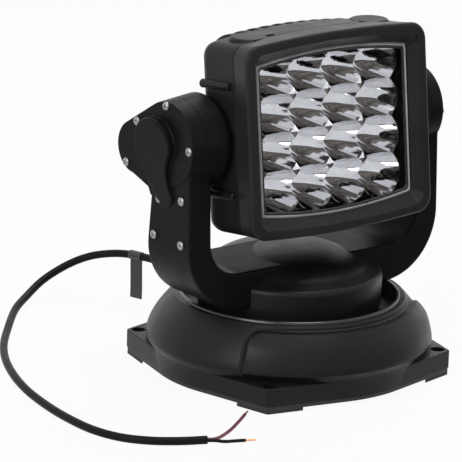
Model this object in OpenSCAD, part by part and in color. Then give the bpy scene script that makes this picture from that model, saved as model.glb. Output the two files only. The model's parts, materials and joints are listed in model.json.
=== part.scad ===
// Remote-controlled marine searchlight: a lamp head that tilts in a yoke, on a base that lets the yoke turn.
// Millimetres, +Z up, the lamp faces -Y, and the origin is the centre of the mounting plane.

/* [Base] */
// Widest radius of the bell-shaped base
base_r = 96.5; // [92:0.5:104]
// Height of the edge round the turntable well
base_h = 51.5; // [48:0.5:58]
// Height where the bell starts to curve inwards
shoulder_z = 22; // [20:0.5:26]
// Wall of the base housing
base_wall = 3; // [2:0.5:4]
// Distance from a mounting hole out to the centre of its ear's rounded tip
ear_tip = 5; // [4.5:0.1:8]
// Height of the top of a bolt ear
ear_top = 17.3; // [13:0.1:19]
// Spacing of the mounting holes, the same both ways
hole_spacing = 145; // [143:1:149]
// Diameter of a mounting hole
hole_d = 9.7; // [6:0.1:11]
// Height of a foot under an ear
foot_h = 2.3; // [2:0.1:4]
// Thickness of the base plate
plate_t = 2.5; // [2:0.1:4]
// How far the front panel stands proud of the bell
panel_proud = 2.2; // [1:0.1:4]
// Half of the angle that the front panel covers
panel_half = 56; // [40:1:65]

/* [Turntable] */
// Radius of the turntable drum
drum_r = 62.7; // [58:0.1:65]
// Height of the drum's shoulder above the base's edge
drum_rise = 19.1; // [17:0.1:22]
// Height of the dome in the middle of the yoke above the base's edge
dome_rise = 34.5; // [32:0.5:35]
// Gap between the drum and the wall of the well
well_gap = 10.3; // [8:0.1:12]
// Depth of the well below the base's edge
well_depth = 7.5; // [6:0.5:9]
// Radius of the pan spindle
spindle_r = 14.95; // [13:0.05:16]

/* [Yoke] */
// Length of a hub, from the head's side to the seam of its arm cover
hub_l = 20.5; // [19:0.5:24]
// Thickness of an arm
arm_t = 18; // [16:0.5:20]
// Thickness of an arm cover, from its outer face to its seam
cover_t = 11; // [10:0.5:12]
// Front face of the yoke, forward of the pan axis
yoke_front = 28; // [26:0.5:30]
// Rear face of the yoke, behind the pan axis
yoke_rear = 16.5; // [15:0.5:20]
// Gap between the base's edge and the underside of the yoke
yoke_gap = 4.5; // [3.5:0.5:7]
// Thickness of the yoke's floor between its arms
floor_t = 25.5; // [23:0.5:26]
// Outer corner radius of the yoke
outer_r = 46.5; // [40:0.5:50]
// Inner corner radius of the yoke
inner_r = 24; // [18:0.5:28]
// Height of the tilt axis above the yoke's floor
axis_rise = 87.8; // [87:0.1:94]
// Radius of the round hub at the tilt axis
hub_r = 28.5; // [27.5:0.1:30]
// Radius of the nose behind the left hub, which holds the tilt motor
nose_r = 17.7; // [17:0.1:20]
// Height of the bump over the gears on the left cover
bump_h = 5; // [3:0.5:7]
// Radius of the tilt shafts
shaft_r = 9.95; // [8:0.05:11]

/* [Head] */
// Width of the head behind its bezel
head_w = 148; // [144:0.5:150]
// Height of the head at its middle
head_h = 132; // [126:0.5:134]
// How far the head's top and bottom bow outwards
crown = 3.5; // [2:0.1:5]
// Wall of the head housing
head_wall = 3; // [2.5:0.1:3.5]
// Distance from the tilt axis forward to the bezel's face
rim_y = 49.5; // [47:0.5:52]
// Distance from the tilt axis forward to the seam behind the bezel
seam_y = 32; // [30:0.5:33]
// Distance from the tilt axis back to the foot of the fins
back_y = 3.5; // [2:0.5:8]
// Depth of the cooling fins
fin_depth = 28; // [16:0.5:32]
// Thickness of a cooling fin
fin_t = 4.2; // [3:0.1:5]
// Distance between cooling fins
fin_pitch = 10; // [9:0.5:12]
// How much wider than the head the bezel's face is, on each side
rim_flare = 2.3; // [1:0.1:4]
// Width of the bezel's flat face
rim_face = 7; // [5:0.5:8]
// Width of the frame beside the lens opening
frame_side = 10; // [9.5:0.25:13]
// Height of the frame above and below the lens opening
frame_top = 10.25; // [9.75:0.25:14]
// How far the opening's top and bottom bow outwards
opening_crown = 5.3; // [3:0.1:7]
// Thickness of the lens
lens_t = 2.5; // [2:0.1:3]
// How far the head looks up as it stands
rest_tilt = 6.7; // [0:0.1:15]

/* [Reflector] */
// Columns of reflector cups
cup_columns = 4; // [3:1:4]
// Rows of reflector cups
cup_rows = 4; // [3:1:4]
// Radius of a cup's mouth, as a share of the distance between columns
cup_share = 0.597; // [0.57:0.001:0.63]
// Depth of the reflector
cup_depth = 26; // [22:0.5:26]

/* [Gears] */
// Module of the pan gears
pan_module = 1; // [0.9:0.05:1.1]
// Teeth on the pan gear
pan_teeth = 64; // [56:1:70]
// Teeth on the pan motor's pinion
pan_pinion_teeth = 16; // [14:1:20]
// Teeth on the tilt gear
tilt_teeth = 34; // [32:1:36]
// Teeth on the idler, an odd number
idler_teeth = 13; // [11:2:15]
// Teeth on the tilt motor's pinion
tilt_pinion_teeth = 15; // [14:1:17]

/* [Cable] */
// Diameter of the power cable
cable_d = 5.5; // [4:0.1:7]
// Diameter of a wire at its end
wire_d = 2.2; // [1.6:0.1:3]
// Height of the gland where the cable leaves the base
gland_z = 36; // [35:0.5:37]

/* [Hidden] */
$fn = 64;

// Screws
screw_r = 1.5;
screw_head_r = 3;
screw_head_h = 1.8;
screw_bite = 5;

// Fits
run_gap = 0.05;
face_gap = 0.1;
slip_gap = 0.1;
graze = 0.02;
cut = 1;

// Colours
BLACK = "#1f1f21";
DARK = "#2b2b2e";
STEEL = "#b9bcc0";
RUBBER = "#161616";
BRASS = "#b08d45";
CHROME = "#d8dade";

// Base
skirt_r = base_r - 2.5;
housing_z = foot_h + plate_t;
ear_reach = hole_spacing / sqrt(2) + ear_tip;
ear_round = 3;
swell_z = shoulder_z - 4;
rim_lip = 2.7;
well_r = drum_r + well_gap;
well_z = base_h - well_depth;
edge_r = well_r + rim_lip + 3;
well_floor_t = 3;
ceiling_z = well_z - well_floor_t;
lip_h = 1.5;
foot_back = ear_tip + hole_d / 2 + 1.15;
plate_inset = 0.6;
seal_inset = 0.8;
seal_w = 1.4;
seal_h = 1.2;
gland_boss_r = 10;
gland_body_r = 6;
gland_flange_r = 9;
gland_flange_t = 3;
relief_l = 22;
gland_face_y = base_r;
post_wall = 3;
post_r = screw_r + post_wall;
post_land = 4.5;
post_reach = skirt_r - seal_inset - seal_w - post_land - post_r;

// Pan drive
flange_t = 4;
flange_r = 30;
drum_lift = 3;
drum_bottom = well_z + drum_lift;
drum_top = base_h + drum_rise;
dome_top = base_h + dome_rise;
bush_wall = 3;
bush_land = 8;
bush_flange_r = spindle_r + run_gap + bush_land;
boss_wall = 4;
boss_l = 15;
boss_z = ceiling_z - boss_l;
gear_h = 7;
pan_gear_z = boss_z - gear_h - 3;
clip_t = 2;
spindle_bottom = pan_gear_z - clip_t - 2;
spindle_bore_r = 7;
pan_centre = pan_module * (pan_teeth + pan_pinion_teeth) / 2;
pan_motor_r = 13;
motor_shaft_r = 2;
motor_lift = 1.5;
pan_motor_bottom = pan_gear_z + gear_h + motor_lift;
pan_shaft_top = ceiling_z - 5;
board_z = housing_z + 5;
board_inset = 36.5;
board_x = board_inset - base_r;
board_size = [36, 50, 1.6];
standoff_r = 2.5;
standoff_inset = 4;
chip_size = [14, 18, 6];
chip_at = [-8, -14];
capacitor_r = 3;
capacitor_h = 8;
capacitor_x = 4;
capacitor_y = [10, 17];

// Yoke
hub_gap = 1;
yoke_bottom = base_h + yoke_gap;
yoke_floor = yoke_bottom + floor_t;
tilt_z = yoke_floor + axis_rise;
hub_in = head_w / 2 + hub_gap;
seam_x = hub_in + hub_l;
arm_out = seam_x + cover_t;
arm_in = arm_out - arm_t;
cover_wall = 2.5;
nose = [36.5, -9.8];
nose_in = hub_in + 4;
neck_step = 1;
web_drop = 38;
gear_gap = 1;
gear_out = arm_out - cover_wall - gear_gap;
tilt_gear_t = 6;
nose_d = norm(nose);
nose_dir = nose / nose_d;
tilt_module = 2 * nose_d / (tilt_teeth + 2 * idler_teeth + tilt_pinion_teeth);
tilt_pitch_r = tilt_module * tilt_teeth / 2;
idler_pos = nose_dir * tilt_module * (tilt_teeth + idler_teeth) / 2;
nose_angle = heading([0, 0], nose);
gear_room_r = tilt_pitch_r + 5.4;
pinion_room_r = tilt_module * tilt_pinion_teeth / 2 + 3.4;
tilt_motor_r = 11.4;
tilt_motor_in = nose_in + 2.5;
shaft_bush_r = shaft_r + run_gap + 3;
bush_out = seam_x - 2.5;
bump_pos = [12.7, -3.8];
bump_r = 22;
stem_pos = [0.5, -32.8];
stem_r = 9.5;
waist_pos = [-30, -18.3];
waist_r = 25;
channel_y = [-12, 6];
channel_drop = 65;
cover_screws = [
    [1, 25.6], [32.4, 8.9], [43.4, -21.4], [-24.6, 0.6],
    [-17, -34.6], [9.2, -38.7], [12.1, -63.9], [-17.6, -64.4]
];
bump_screws = [cover_screws[1], cover_screws[5]];
right_screws = [[0, 24.6], [24.6, 0], [-24.6, 0], [-17, -34.6], [9.2, -34.6], [12.1, -63.9], [-17.6, -64.4]];

// Head
opening_w = head_w - 2 * frame_side;
opening_h = head_h - 2 * frame_top;
lip_y = rim_y - 8;
lens_y = lip_y - lens_t;
gasket_t = 1;
spigot_y = lens_y - gasket_t;
skirt_h = opening_h - 12;
skirt_gap = 4;
cup_edge = 4.3;
cup_tuck = 5.6;
cup_pitch_x = (opening_w - cup_edge) / (cup_columns - 1 + 2 * cup_share);
cup_r = cup_share * cup_pitch_x;
cup_pitch_z = (opening_h - 2 * cup_r + cup_tuck) / (cup_rows - 1);
cup_back = 8;
board_t = 1.6;
floor_y = -cup_back + board_t;
side_r = head_w / 2;
rib_r = 3;
rib_z = 36.5;
pad_at = [49, seam_y - 1];
pad_r = 14;
pad_top = head_h / 2 + 2;
pad_edge = 2.2;
pad_screw = [46, seam_y + 3];
opening_r = 2;
corner_r = 10;
rim_corner_r = 12;
lens_margin = min(frame_side, frame_top) - head_wall - 1;
spigot_t = 2;
bezel_screw_l = head_wall + 0.4;
pivot_flange_r = 20;
pivot_flange_t = 4;
wire_bore_r = 5;
clip_r = shaft_r + 2.5;
led_hole_r = 4.2;
cup_shell = 0.6;
fin_foot_w = 2 * side_r - 54;
fin_drop = 0.3;
fin_foot_y = -3;
fin_round = 18;

// Cable
cable_r = cable_d / 2;
cable_sides = 10;
wire_sides = 8;
cable_start = [0, gland_face_y + gland_flange_t + relief_l, gland_z];
cable_rest = [
    [0, 136, 36], [-0.5, 156.5, 35], [-3.5, 171.5, 34.5], [-7.5, 183, 33.5], [-13, 192, 32],
    [-20.5, 200.5, 29.5], [-30, 207, 25.5], [-42, 211, 20], [-56.5, 211.5, 13.5], [-73, 205.5, 7.2],
    [-92.5, 192, 3.6],
    [-120, 161, 2.8], [-144, 131, 2.8], [-161.5, 103, 2.8], [-175.5, 73, 2.8], [-186, 42.5, 2.8],
    [-192.5, 12.5, 2.8], [-196, -16, 2.8], [-196, -45, 2.8], [-190, -67, 2.8], [-178, -83, 2.8],
    [-162, -94.5, 2.8], [-146, -102, 2.8]
];
cable_points = concat([cable_start], cable_rest);
red_points = [
    [-146, -100.7, 2.8], [-140.5, -102.3, 2.4], [-132, -98.5, 1.3],
    [-119, -91.5, 1.2], [-104, -81, 1.2], [-92, -72, 1.2]
];
black_points = [
    [-151.5, -100.8, 2.8], [-147, -102.9, 2.8], [-141.5, -105.4, 2.4],
    [-136, -107.6, 1.4], [-129, -110, 1.2], [-123, -112.5, 1.2]
];
tip_l = 7;
tag_at = [-3.5, 171.5, 34.5];
tag_size = [0.6, 12.5, 29];
tag_turn = 14.8;
tip_grip = 0.3;

// Curves and outlines

function bezier(a, b, c, d, t) =
    pow(1 - t, 3) * a + 3 * t * pow(1 - t, 2) * b + 3 * t * t * (1 - t) * c + pow(t, 3) * d;
function curve(a, b, c, d, n) = [for (i = [0:n]) bezier(a, b, c, d, i / n)];
function arc(c, r, from, to, n) =
    [for (i = [0:n]) let (a = from + (to - from) * i / n) c + r * [cos(a), sin(a)]];

// Half of a bowed outline, from the right-hand side over the top to the left-hand side
function bowed_top(w, h, bow, r) =
    let (x = w - r, top = h - bow * pow(x / w, 2), slope = atan(2 * bow * x / (w * w)))
    concat(
        arc([x, top - r], r, 0, 90 - slope, 6),
        [for (i = [1:7]) let (u = x * (1 - i / 4)) [u, h - bow * pow(u / w, 2)]],
        arc([-x, top - r], r, 90 + slope, 180, 6)
    );
// Rounded rectangle with a bowed top and bottom: half width, half height, bow and corner radius
function bowed(w, h, bow, r) =
    let (top = bowed_top(w, h, bow, r))
    concat(top, [for (p = top) -p]);

// Angle from the line between two circles to where their common straight sides touch them
function touch_angle(a, ra, b, rb) = acos((ra - rb) / norm(b - a));
function heading(a, b) = atan2(b.y - a.y, b.x - a.x);
// Outline of two circles joined by straight sides
function joined(a, ra, b, rb) =
    let (t = heading(a, b), w = touch_angle(a, ra, b, rb))
    concat(arc(a, ra, t + w, t - w + 360, 36), arc(b, rb, t - w, t + w, 24));
// Strip between the straight lines that graze two circles
module strip(a, ra, b, rb) {
    d = norm(b - a);
    u = (b - a) / d;
    k = (ra - rb) / d;
    s = sqrt(1 - k * k);
    n1 = [u.x * k - u.y * s, u.y * k + u.x * s];
    n2 = [u.x * k + u.y * s, u.y * k - u.x * s];
    in_a = ra - graze;
    in_b = rb - graze;
    polygon([a, a + n1 * in_a, b + n1 * in_b, b, b + n2 * in_b, a + n2 * in_a]);
}
// Two cylinders joined by straight sides
module two_cylinders(h, a, ra, b, rb) {
    translate(a) cylinder(h = h, r = ra);
    translate(b) cylinder(h = h, r = rb);
    linear_extrude(h) strip(a, ra, b, rb);
}

module ring(r_in, r_out, h) {
    rotate_extrude() translate([r_in, 0]) square([r_out - r_in, h]);
}

// Frames that other modules draw in

module four_ears() {
    for (i = [0:3]) rotate(45 + 90 * i) children();
}
// Places children along X at the tilt axis, with their own X and Y as the object's Y and Z
module along_x(x) {
    translate([x, 0, tilt_z]) rotate([90, 0, 90]) children();
}
module tilted() {
    translate([0, 0, tilt_z]) rotate([-rest_tilt, 0, 0]) children();
}
// Extrudes an outline in X and Z from y = front to y = back
module slab(front, back) {
    translate([0, back, 0]) rotate([90, 0, 0]) linear_extrude(back - front) children();
}
module mirrored_x() {
    children();
    mirror([1, 0, 0]) children();
}

// Involute spur gears

pressure = 25;
function involute(rb, r) = let (a = acos(min(1, rb / r))) tan(a) * 180 / PI - a;
// Flank points of one tooth, from its root to its tip
function flank(m, n, side) =
    let (
        rp = m * n / 2, rb = rp * cos(pressure), root = rp - 1.1 * m, tip = rp + 0.8 * m,
        play = 0.12, half = 90 / n - play / rp * 90 / PI, start = max(root, rb)
    )
    [for (r = [root, start, (start + rp) / 2, rp, (rp + tip) / 2, tip])
        let (a = half + involute(rb, rp) - involute(rb, max(r, rb))) r * [cos(side * a), sin(side * a)]];
function turned(p, a) = [p.x * cos(a) - p.y * sin(a), p.x * sin(a) + p.y * cos(a)];
function reversed(v) = [for (i = [len(v) - 1:-1:0]) v[i]];
module gear_outline(m, n) {
    tooth = concat(flank(m, n, -1), reversed(flank(m, n, 1)));
    polygon([for (i = [0:n - 1]) each [for (p = tooth) turned(p, 360 * i / n)]]);
}

// Fasteners

// Screw whose head stands on z = 0, with its shank pointing down
module screw(r, head_r, head_h, l) {
    translate([0, 0, -l]) cylinder(h = l, r = r);
    rotate_extrude() polygon(concat([[0, 0], [head_r, 0]], curve(
        [head_r, head_h * 0.45], [head_r, head_h * 0.8], [head_r * 0.8, head_h], [0, head_h], 6)));
}

// Base

module base_block(h, inset) {
    four_ears() two_cylinders(h, [0, 0], skirt_r - inset, [ear_reach, 0], ear_round - inset);
}
module ear_holes(from, to) {
    for (x = [-1, 1], y = [-1, 1])
        translate([x * hole_spacing / 2, y * hole_spacing / 2, from]) cylinder(h = to - from, d = hole_d);
}
// The bell's curve from its shoulder to its edge, moved outwards by a given amount
function bell_curve(out) = curve(
    [base_r + out, shoulder_z], [base_r + out, shoulder_z + 14],
    [edge_r + 7.4 + out, base_h - 7.5], [edge_r + out, base_h], 10);

module base_housing() {
    color(BLACK) difference() {
        union() {
            rotate_extrude() polygon(concat(
                [[0, housing_z], [skirt_r, housing_z], [skirt_r + 0.4, swell_z - 8]],
                curve([skirt_r + 0.4, swell_z - 7], [base_r - 1, swell_z - 3],
                    [base_r, swell_z - 2], [base_r, swell_z], 4),
                bell_curve(0), [[0, base_h]]));
            translate([0, 0, housing_z]) base_block(ear_top - housing_z, 0);
            front_panel();
            translate([0, gland_face_y, gland_z]) rotate([90, 0, 0])
                cylinder(h = base_r - well_r, r = gland_boss_r);
        }
        rotate_extrude() polygon(concat(
            [[0, housing_z - cut], [skirt_r - base_wall, housing_z - cut], [base_r - base_wall, shoulder_z]],
            curve([base_r - base_wall, shoulder_z], [base_r - base_wall, shoulder_z + 9],
                [edge_r + 7, ceiling_z - 4], [edge_r + 1, ceiling_z], 6),
            [[bush_r() + boss_wall, ceiling_z], [bush_r() + boss_wall, boss_z], [0, boss_z]]));
        translate([0, 0, well_z]) cylinder(h = well_depth + cut, r = well_r);
        translate([0, 0, boss_z - cut]) cylinder(h = well_z, r = bush_r());
        ear_holes(housing_z - cut, ear_top + cut);
        translate([0, gland_face_y + cut, gland_z]) rotate([90, 0, 0])
            cylinder(h = base_r - well_r, r = gland_body_r + slip_gap);
        translate([0, 0, housing_z - cut])
            ring(skirt_r - seal_inset - seal_w, skirt_r - seal_inset, seal_h + cut);
    }
    color(BLACK) base_screw_places() screw_post();
}
// Post under the bell's roof that takes a base plate screw
module screw_post() {
    difference() {
        translate([0, 0, housing_z]) cylinder(h = ceiling_z - housing_z + cut, r = post_r);
        translate([0, 0, housing_z - cut]) cylinder(h = screw_bite + cut, r = screw_r + slip_gap);
    }
}
// Raised panel on the front of the bell
module front_panel() {
    outer = [for (p = bell_curve(panel_proud)) if (p.y > shoulder_z + 2 && p.y < base_h - 2) p];
    rotate(-90 - panel_half) rotate_extrude(angle = 2 * panel_half)
        polygon(concat(outer, reversed([for (p = outer) p - [panel_proud + 1.5, 1]])));
}
function bush_r() = spindle_r + run_gap + bush_wall;
module base_screw_places() {
    four_ears() translate([post_reach, 0, 0]) children();
}
module base_plate() {
    color(DARK) difference() {
        translate([0, 0, foot_h]) base_block(plate_t, plate_inset);
        ear_holes(0, housing_z + cut);
        base_screw_places() cylinder(h = housing_z + cut, r = screw_r + slip_gap);
    }
}
module base_feet() {
    color(RUBBER) difference() {
        four_ears() intersection() {
            two_cylinders(foot_h, [0, 0], skirt_r - plate_inset, [ear_reach, 0], ear_round - plate_inset);
            translate([ear_reach - foot_back, -base_r, 0]) cube([base_r, 2 * base_r, foot_h]);
        }
        ear_holes(-cut, foot_h + cut);
    }
}
module base_seal() {
    color(RUBBER) translate([0, 0, housing_z])
        ring(skirt_r - seal_inset - seal_w, skirt_r - seal_inset, seal_h);
}
module base_screws() {
    color(STEEL) base_screw_places() translate([0, 0, foot_h]) rotate([180, 0, 0])
        screw(screw_r, screw_head_r, foot_h - 0.5, plate_t + screw_bite - 0.5);
}
module rim_ring() {
    color(DARK) translate([0, 0, base_h]) rotate_extrude() polygon([
        [well_r, 0], [well_r + rim_lip, 0], [well_r + rim_lip - 0.5, lip_h - 0.4],
        [well_r + rim_lip - 1, lip_h], [well_r + 0.4, lip_h]]);
}
module cable_gland() {
    taper = cable_r + 1.4;
    color(RUBBER) translate([0, gland_face_y, gland_z]) rotate([-90, 0, 0]) {
        translate([0, 0, -9]) cylinder(h = 9, r = gland_body_r);
        cylinder(h = gland_flange_t, r = gland_flange_r);
        translate([0, 0, gland_flange_t]) rotate_extrude() polygon(concat([[0, 0]], [for (i = [0:5])
            each let (z = relief_l * i / 6, r = gland_body_r + 0.5 + (taper - gland_body_r - 0.5) * i / 6)
            [[r, z], [r, z + relief_l / 10], [r - 0.8, z + relief_l / 10], [r - 0.8, z + relief_l / 6]]],
            [[0, relief_l]]));
    }
}

// Pan drive

module pan_bush() {
    color(BRASS) {
        translate([0, 0, boss_z]) ring(spindle_r + run_gap, bush_r(), well_z - boss_z);
        translate([0, 0, well_z]) ring(spindle_r + run_gap, bush_flange_r, drum_bottom - well_z - face_gap);
    }
}
module pan_spindle() {
    color(STEEL) difference() {
        union() {
            translate([0, 0, drum_bottom]) cylinder(h = flange_t, r = flange_r);
            translate([0, 0, spindle_bottom]) cylinder(h = drum_bottom - spindle_bottom, r = spindle_r);
        }
        translate([0, 0, spindle_bottom - cut]) cylinder(h = base_h, r = spindle_bore_r);
        spindle_screw_places() translate([0, 0, -cut])
            cylinder(h = base_h + flange_t, r = screw_r + slip_gap);
    }
}
module spindle_screw_places() {
    four_ears() translate([flange_r - 3.5, 0, drum_bottom]) children();
}
module spindle_screws() {
    color(STEEL) spindle_screw_places() rotate([180, 0, 0])
        screw(screw_r, 2.6, 1.6, flange_t + screw_bite - 1);
}
module pan_gear() {
    color(STEEL) translate([0, 0, pan_gear_z]) linear_extrude(gear_h) difference() {
        gear_outline(pan_module, pan_teeth);
        circle(spindle_r);
        for (i = [0:5]) rotate(60 * i + 30)
            translate([(spindle_r + pan_module * pan_teeth / 2) / 2, 0]) circle(3.5);
    }
}
module retaining_ring() {
    color(STEEL) translate([0, 0, pan_gear_z - clip_t]) difference() {
        ring(spindle_r, spindle_r + 4, clip_t);
        translate([0, -clip_t, -cut]) cube([2 * spindle_r, 2 * clip_t, clip_t + 2 * cut]);
    }
}
module pan_motor() {
    color(DARK) translate([pan_centre, 0, 0]) difference() {
        union() {
            translate([0, 0, pan_motor_bottom]) cylinder(h = ceiling_z - pan_motor_bottom, r = pan_motor_r);
            translate([0, 0, pan_motor_bottom - motor_lift / 2]) cylinder(h = motor_lift, r = 4);
        }
        translate([0, 0, pan_gear_z])
            cylinder(h = pan_shaft_top - pan_gear_z + 0.5, r = motor_shaft_r + run_gap);
    }
}
module pan_pinion() {
    color(BRASS) translate([pan_centre, 0, pan_gear_z]) {
        linear_extrude(gear_h) rotate(180 + 180 / pan_pinion_teeth)
            gear_outline(pan_module, pan_pinion_teeth);
        cylinder(h = pan_shaft_top - pan_gear_z, r = motor_shaft_r);
    }
}
module control_board() {
    color("#1d5c3a") translate([board_x, 0, housing_z]) {
        translate([-board_size.x / 2, -board_size.y / 2, board_z - housing_z]) cube(board_size);
        for (x = [-1, 1], y = [-1, 1])
            translate([x * (board_size.x / 2 - standoff_inset), y * (board_size.y / 2 - standoff_inset), 0])
                cylinder(h = board_z - housing_z, r = standoff_r);
        translate([0, 0, board_z - housing_z + board_size.z]) {
            translate(chip_at) cube(chip_size);
            for (y = capacitor_y) translate([capacitor_x, y, 0]) cylinder(h = capacitor_h, r = capacitor_r);
        }
    }
}

// Yoke

// Outline of the U, in X and Z, between two heights of wall
module u_outline() {
    difference() {
        round_bottom(arm_out, yoke_bottom, outer_r);
        round_bottom(arm_in, yoke_floor, inner_r);
    }
}
module round_bottom(w, bottom, r) {
    translate([-w, bottom + r]) square([2 * w, tilt_z - bottom - r]);
    translate([r - w, bottom]) square([2 * (w - r), r + cut]);
    for (x = [r - w, w - r]) translate([x, bottom + r]) circle(r);
}
// Hub and motor nose in one outline, with a web under the nose
module left_hub_outline() {
    w = touch_angle([0, 0], hub_r, nose, nose_r);
    polygon(concat(
        arc([0, 0], hub_r, nose_angle + w, nose_angle - w + 360, 36),
        [[yoke_rear - 4, -web_drop], [yoke_rear, -web_drop], [yoke_rear + 3, 5 - web_drop]],
        arc(nose, nose_r, nose_angle - w, nose_angle + w, 24)));
}
module yoke_frame() {
    color(BLACK) difference() {
        union() {
            slab(-yoke_front, yoke_rear) intersection() {
                u_outline();
                translate([-seam_x, 0]) square([2 * seam_x, tilt_z]);
            }
            along_x(-nose_in - cut) linear_extrude(nose_in + cut - hub_in) circle(hub_r - neck_step);
            along_x(-seam_x) linear_extrude(seam_x - nose_in) left_hub_outline();
            along_x(hub_in) linear_extrude(seam_x - hub_in) circle(hub_r);
            turntable();
        }
        translate([0, 0, drum_bottom - cut]) cylinder(h = flange_t + cut, r = flange_r + slip_gap);
        translate([0, 0, drum_bottom - cut]) ring(flange_r + 6, drum_r - 4, 12 + cut);
        translate([0, 0, drum_bottom]) cylinder(h = yoke_bottom, r = spindle_bore_r);
        spindle_screw_places() translate([0, 0, flange_t - cut])
            cylinder(h = screw_bite + cut, r = screw_r + slip_gap);
        along_x(-seam_x - cut) cylinder(h = seam_x, r = shaft_bush_r);
        along_x(cut) cylinder(h = seam_x + cut, r = shaft_bush_r);
        along_x(-seam_x - cut) translate(nose) cylinder(h = seam_x - tilt_motor_in + cut, r = tilt_motor_r);
        along_x(-seam_x - cut) translate(idler_pos) cylinder(h = screw_bite + cut, r = motor_shaft_r);
        for (p = cover_screws) along_x(-seam_x - cut) translate(p)
            cylinder(h = screw_bite + cut, r = screw_r + slip_gap);
        for (p = right_screws)
            along_x(seam_x - screw_bite) translate(p) cylinder(h = screw_bite + cut, r = screw_r + slip_gap);
    }
}
// Round drum with a domed top, under the yoke's floor
module turntable() {
    rotate_extrude() polygon(concat(
        [[0, drum_bottom], [drum_r, drum_bottom]],
        curve([drum_r, drum_top - 5], [drum_r, drum_top - 1.5], [drum_r - 1.5, drum_top - 0.5],
            [drum_r - 6, drum_top + 0.6], 5),
        curve([drum_r - 7, drum_top + 1.2], [drum_r - 13, drum_top + 8.4],
            [drum_r - 28, dome_top], [0, dome_top], 8)));
}
module left_arm_cover() {
    color(BLACK) difference() {
        union() {
            slab(-yoke_front, yoke_rear) intersection() {
                u_outline();
                translate([-arm_out, 0]) square([cover_t, tilt_z]);
            }
            along_x(-arm_out) linear_extrude(cover_t) left_hub_outline();
            along_x(-arm_out - bump_h) linear_extrude(bump_h + cut) bump_outline();
        }
        along_x(cover_wall - arm_out) linear_extrude(cover_t)
            polygon(joined([0, 0], gear_room_r, nose, pinion_room_r));
        along_x(cover_wall - arm_out) wire_channel();
        for (p = cover_screws) along_x(-arm_out - cut) translate(p)
            cylinder(h = cover_t + 2 * cut, r = screw_r + slip_gap);
        for (p = bump_screws) along_x(-arm_out - bump_h - cut) translate(p)
            cylinder(h = bump_h + cut, r = screw_head_r + slip_gap);
    }
}
// Room for the wires inside a cover, down from the tilt axis
module wire_channel() {
    translate([channel_y[0], -channel_drop, 0]) cube([channel_y[1] - channel_y[0], channel_drop, cover_t]);
}
// Raised teardrop over the gears, with a waist on its front side
module bump_outline() {
    difference() {
        polygon(joined(bump_pos, bump_r, stem_pos, stem_r));
        translate(waist_pos) circle(waist_r);
    }
}
module right_arm_cover() {
    color(BLACK) difference() {
        union() {
            slab(-yoke_front, yoke_rear) intersection() {
                u_outline();
                translate([seam_x, 0]) square([cover_t, tilt_z]);
            }
            along_x(seam_x) linear_extrude(cover_t) circle(hub_r);
        }
        along_x(seam_x - cut) cylinder(h = cover_t - cover_wall + cut, r = hub_r - 7);
        along_x(arm_out - cover_wall - cover_t) wire_channel();
        for (p = right_screws) along_x(seam_x - cut) translate(p)
            cylinder(h = cover_t + 2 * cut, r = screw_r + slip_gap);
    }
}
module left_cover_screws() {
    color(STEEL) for (p = cover_screws) along_x(-arm_out) translate(p) rotate([180, 0, 0])
        screw(screw_r, screw_head_r, screw_head_h, cover_t + screw_bite - 1);
}
module right_cover_screws() {
    color(STEEL) for (p = right_screws) along_x(arm_out) translate(p)
        screw(screw_r, screw_head_r, screw_head_h, cover_t + screw_bite - 1);
}

// Tilt drive

module left_bush() {
    color(BRASS) along_x(-bush_out) ring(shaft_r + run_gap, shaft_bush_r, bush_out - hub_in);
}
module right_bush() {
    color(BRASS) along_x(hub_in) ring(shaft_r + run_gap, shaft_bush_r, bush_out - hub_in);
}
module tilt_motor() {
    color(DARK) along_x(-seam_x) translate(nose) difference() {
        cylinder(h = seam_x - tilt_motor_in, r = tilt_motor_r);
        translate([0, 0, -cut]) cylinder(h = 8 + cut, r = motor_shaft_r + run_gap);
    }
}
module tilt_pinion() {
    color(BRASS) along_x(-gear_out) translate(nose) {
        linear_extrude(tilt_gear_t) rotate(nose_angle + 180 + 180 / tilt_pinion_teeth)
            gear_outline(tilt_module, tilt_pinion_teeth);
        cylinder(h = gear_out - seam_x + 7, r = motor_shaft_r);
    }
}
module tilt_idler() {
    color(BRASS) along_x(-gear_out) translate(idler_pos) linear_extrude(tilt_gear_t) difference() {
        rotate(nose_angle + 180 + 180 / idler_teeth) gear_outline(tilt_module, idler_teeth);
        circle(motor_shaft_r + run_gap);
    }
}
module idler_pin() {
    color(STEEL) along_x(-gear_out) translate(idler_pos)
        cylinder(h = gear_out - seam_x + screw_bite, r = motor_shaft_r);
}
module tilt_gear() {
    color(STEEL) along_x(-gear_out) linear_extrude(tilt_gear_t) difference() {
        rotate(nose_angle) gear_outline(tilt_module, tilt_teeth);
        circle(shaft_r);
    }
}

// Head, drawn about the tilt axis

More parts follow.
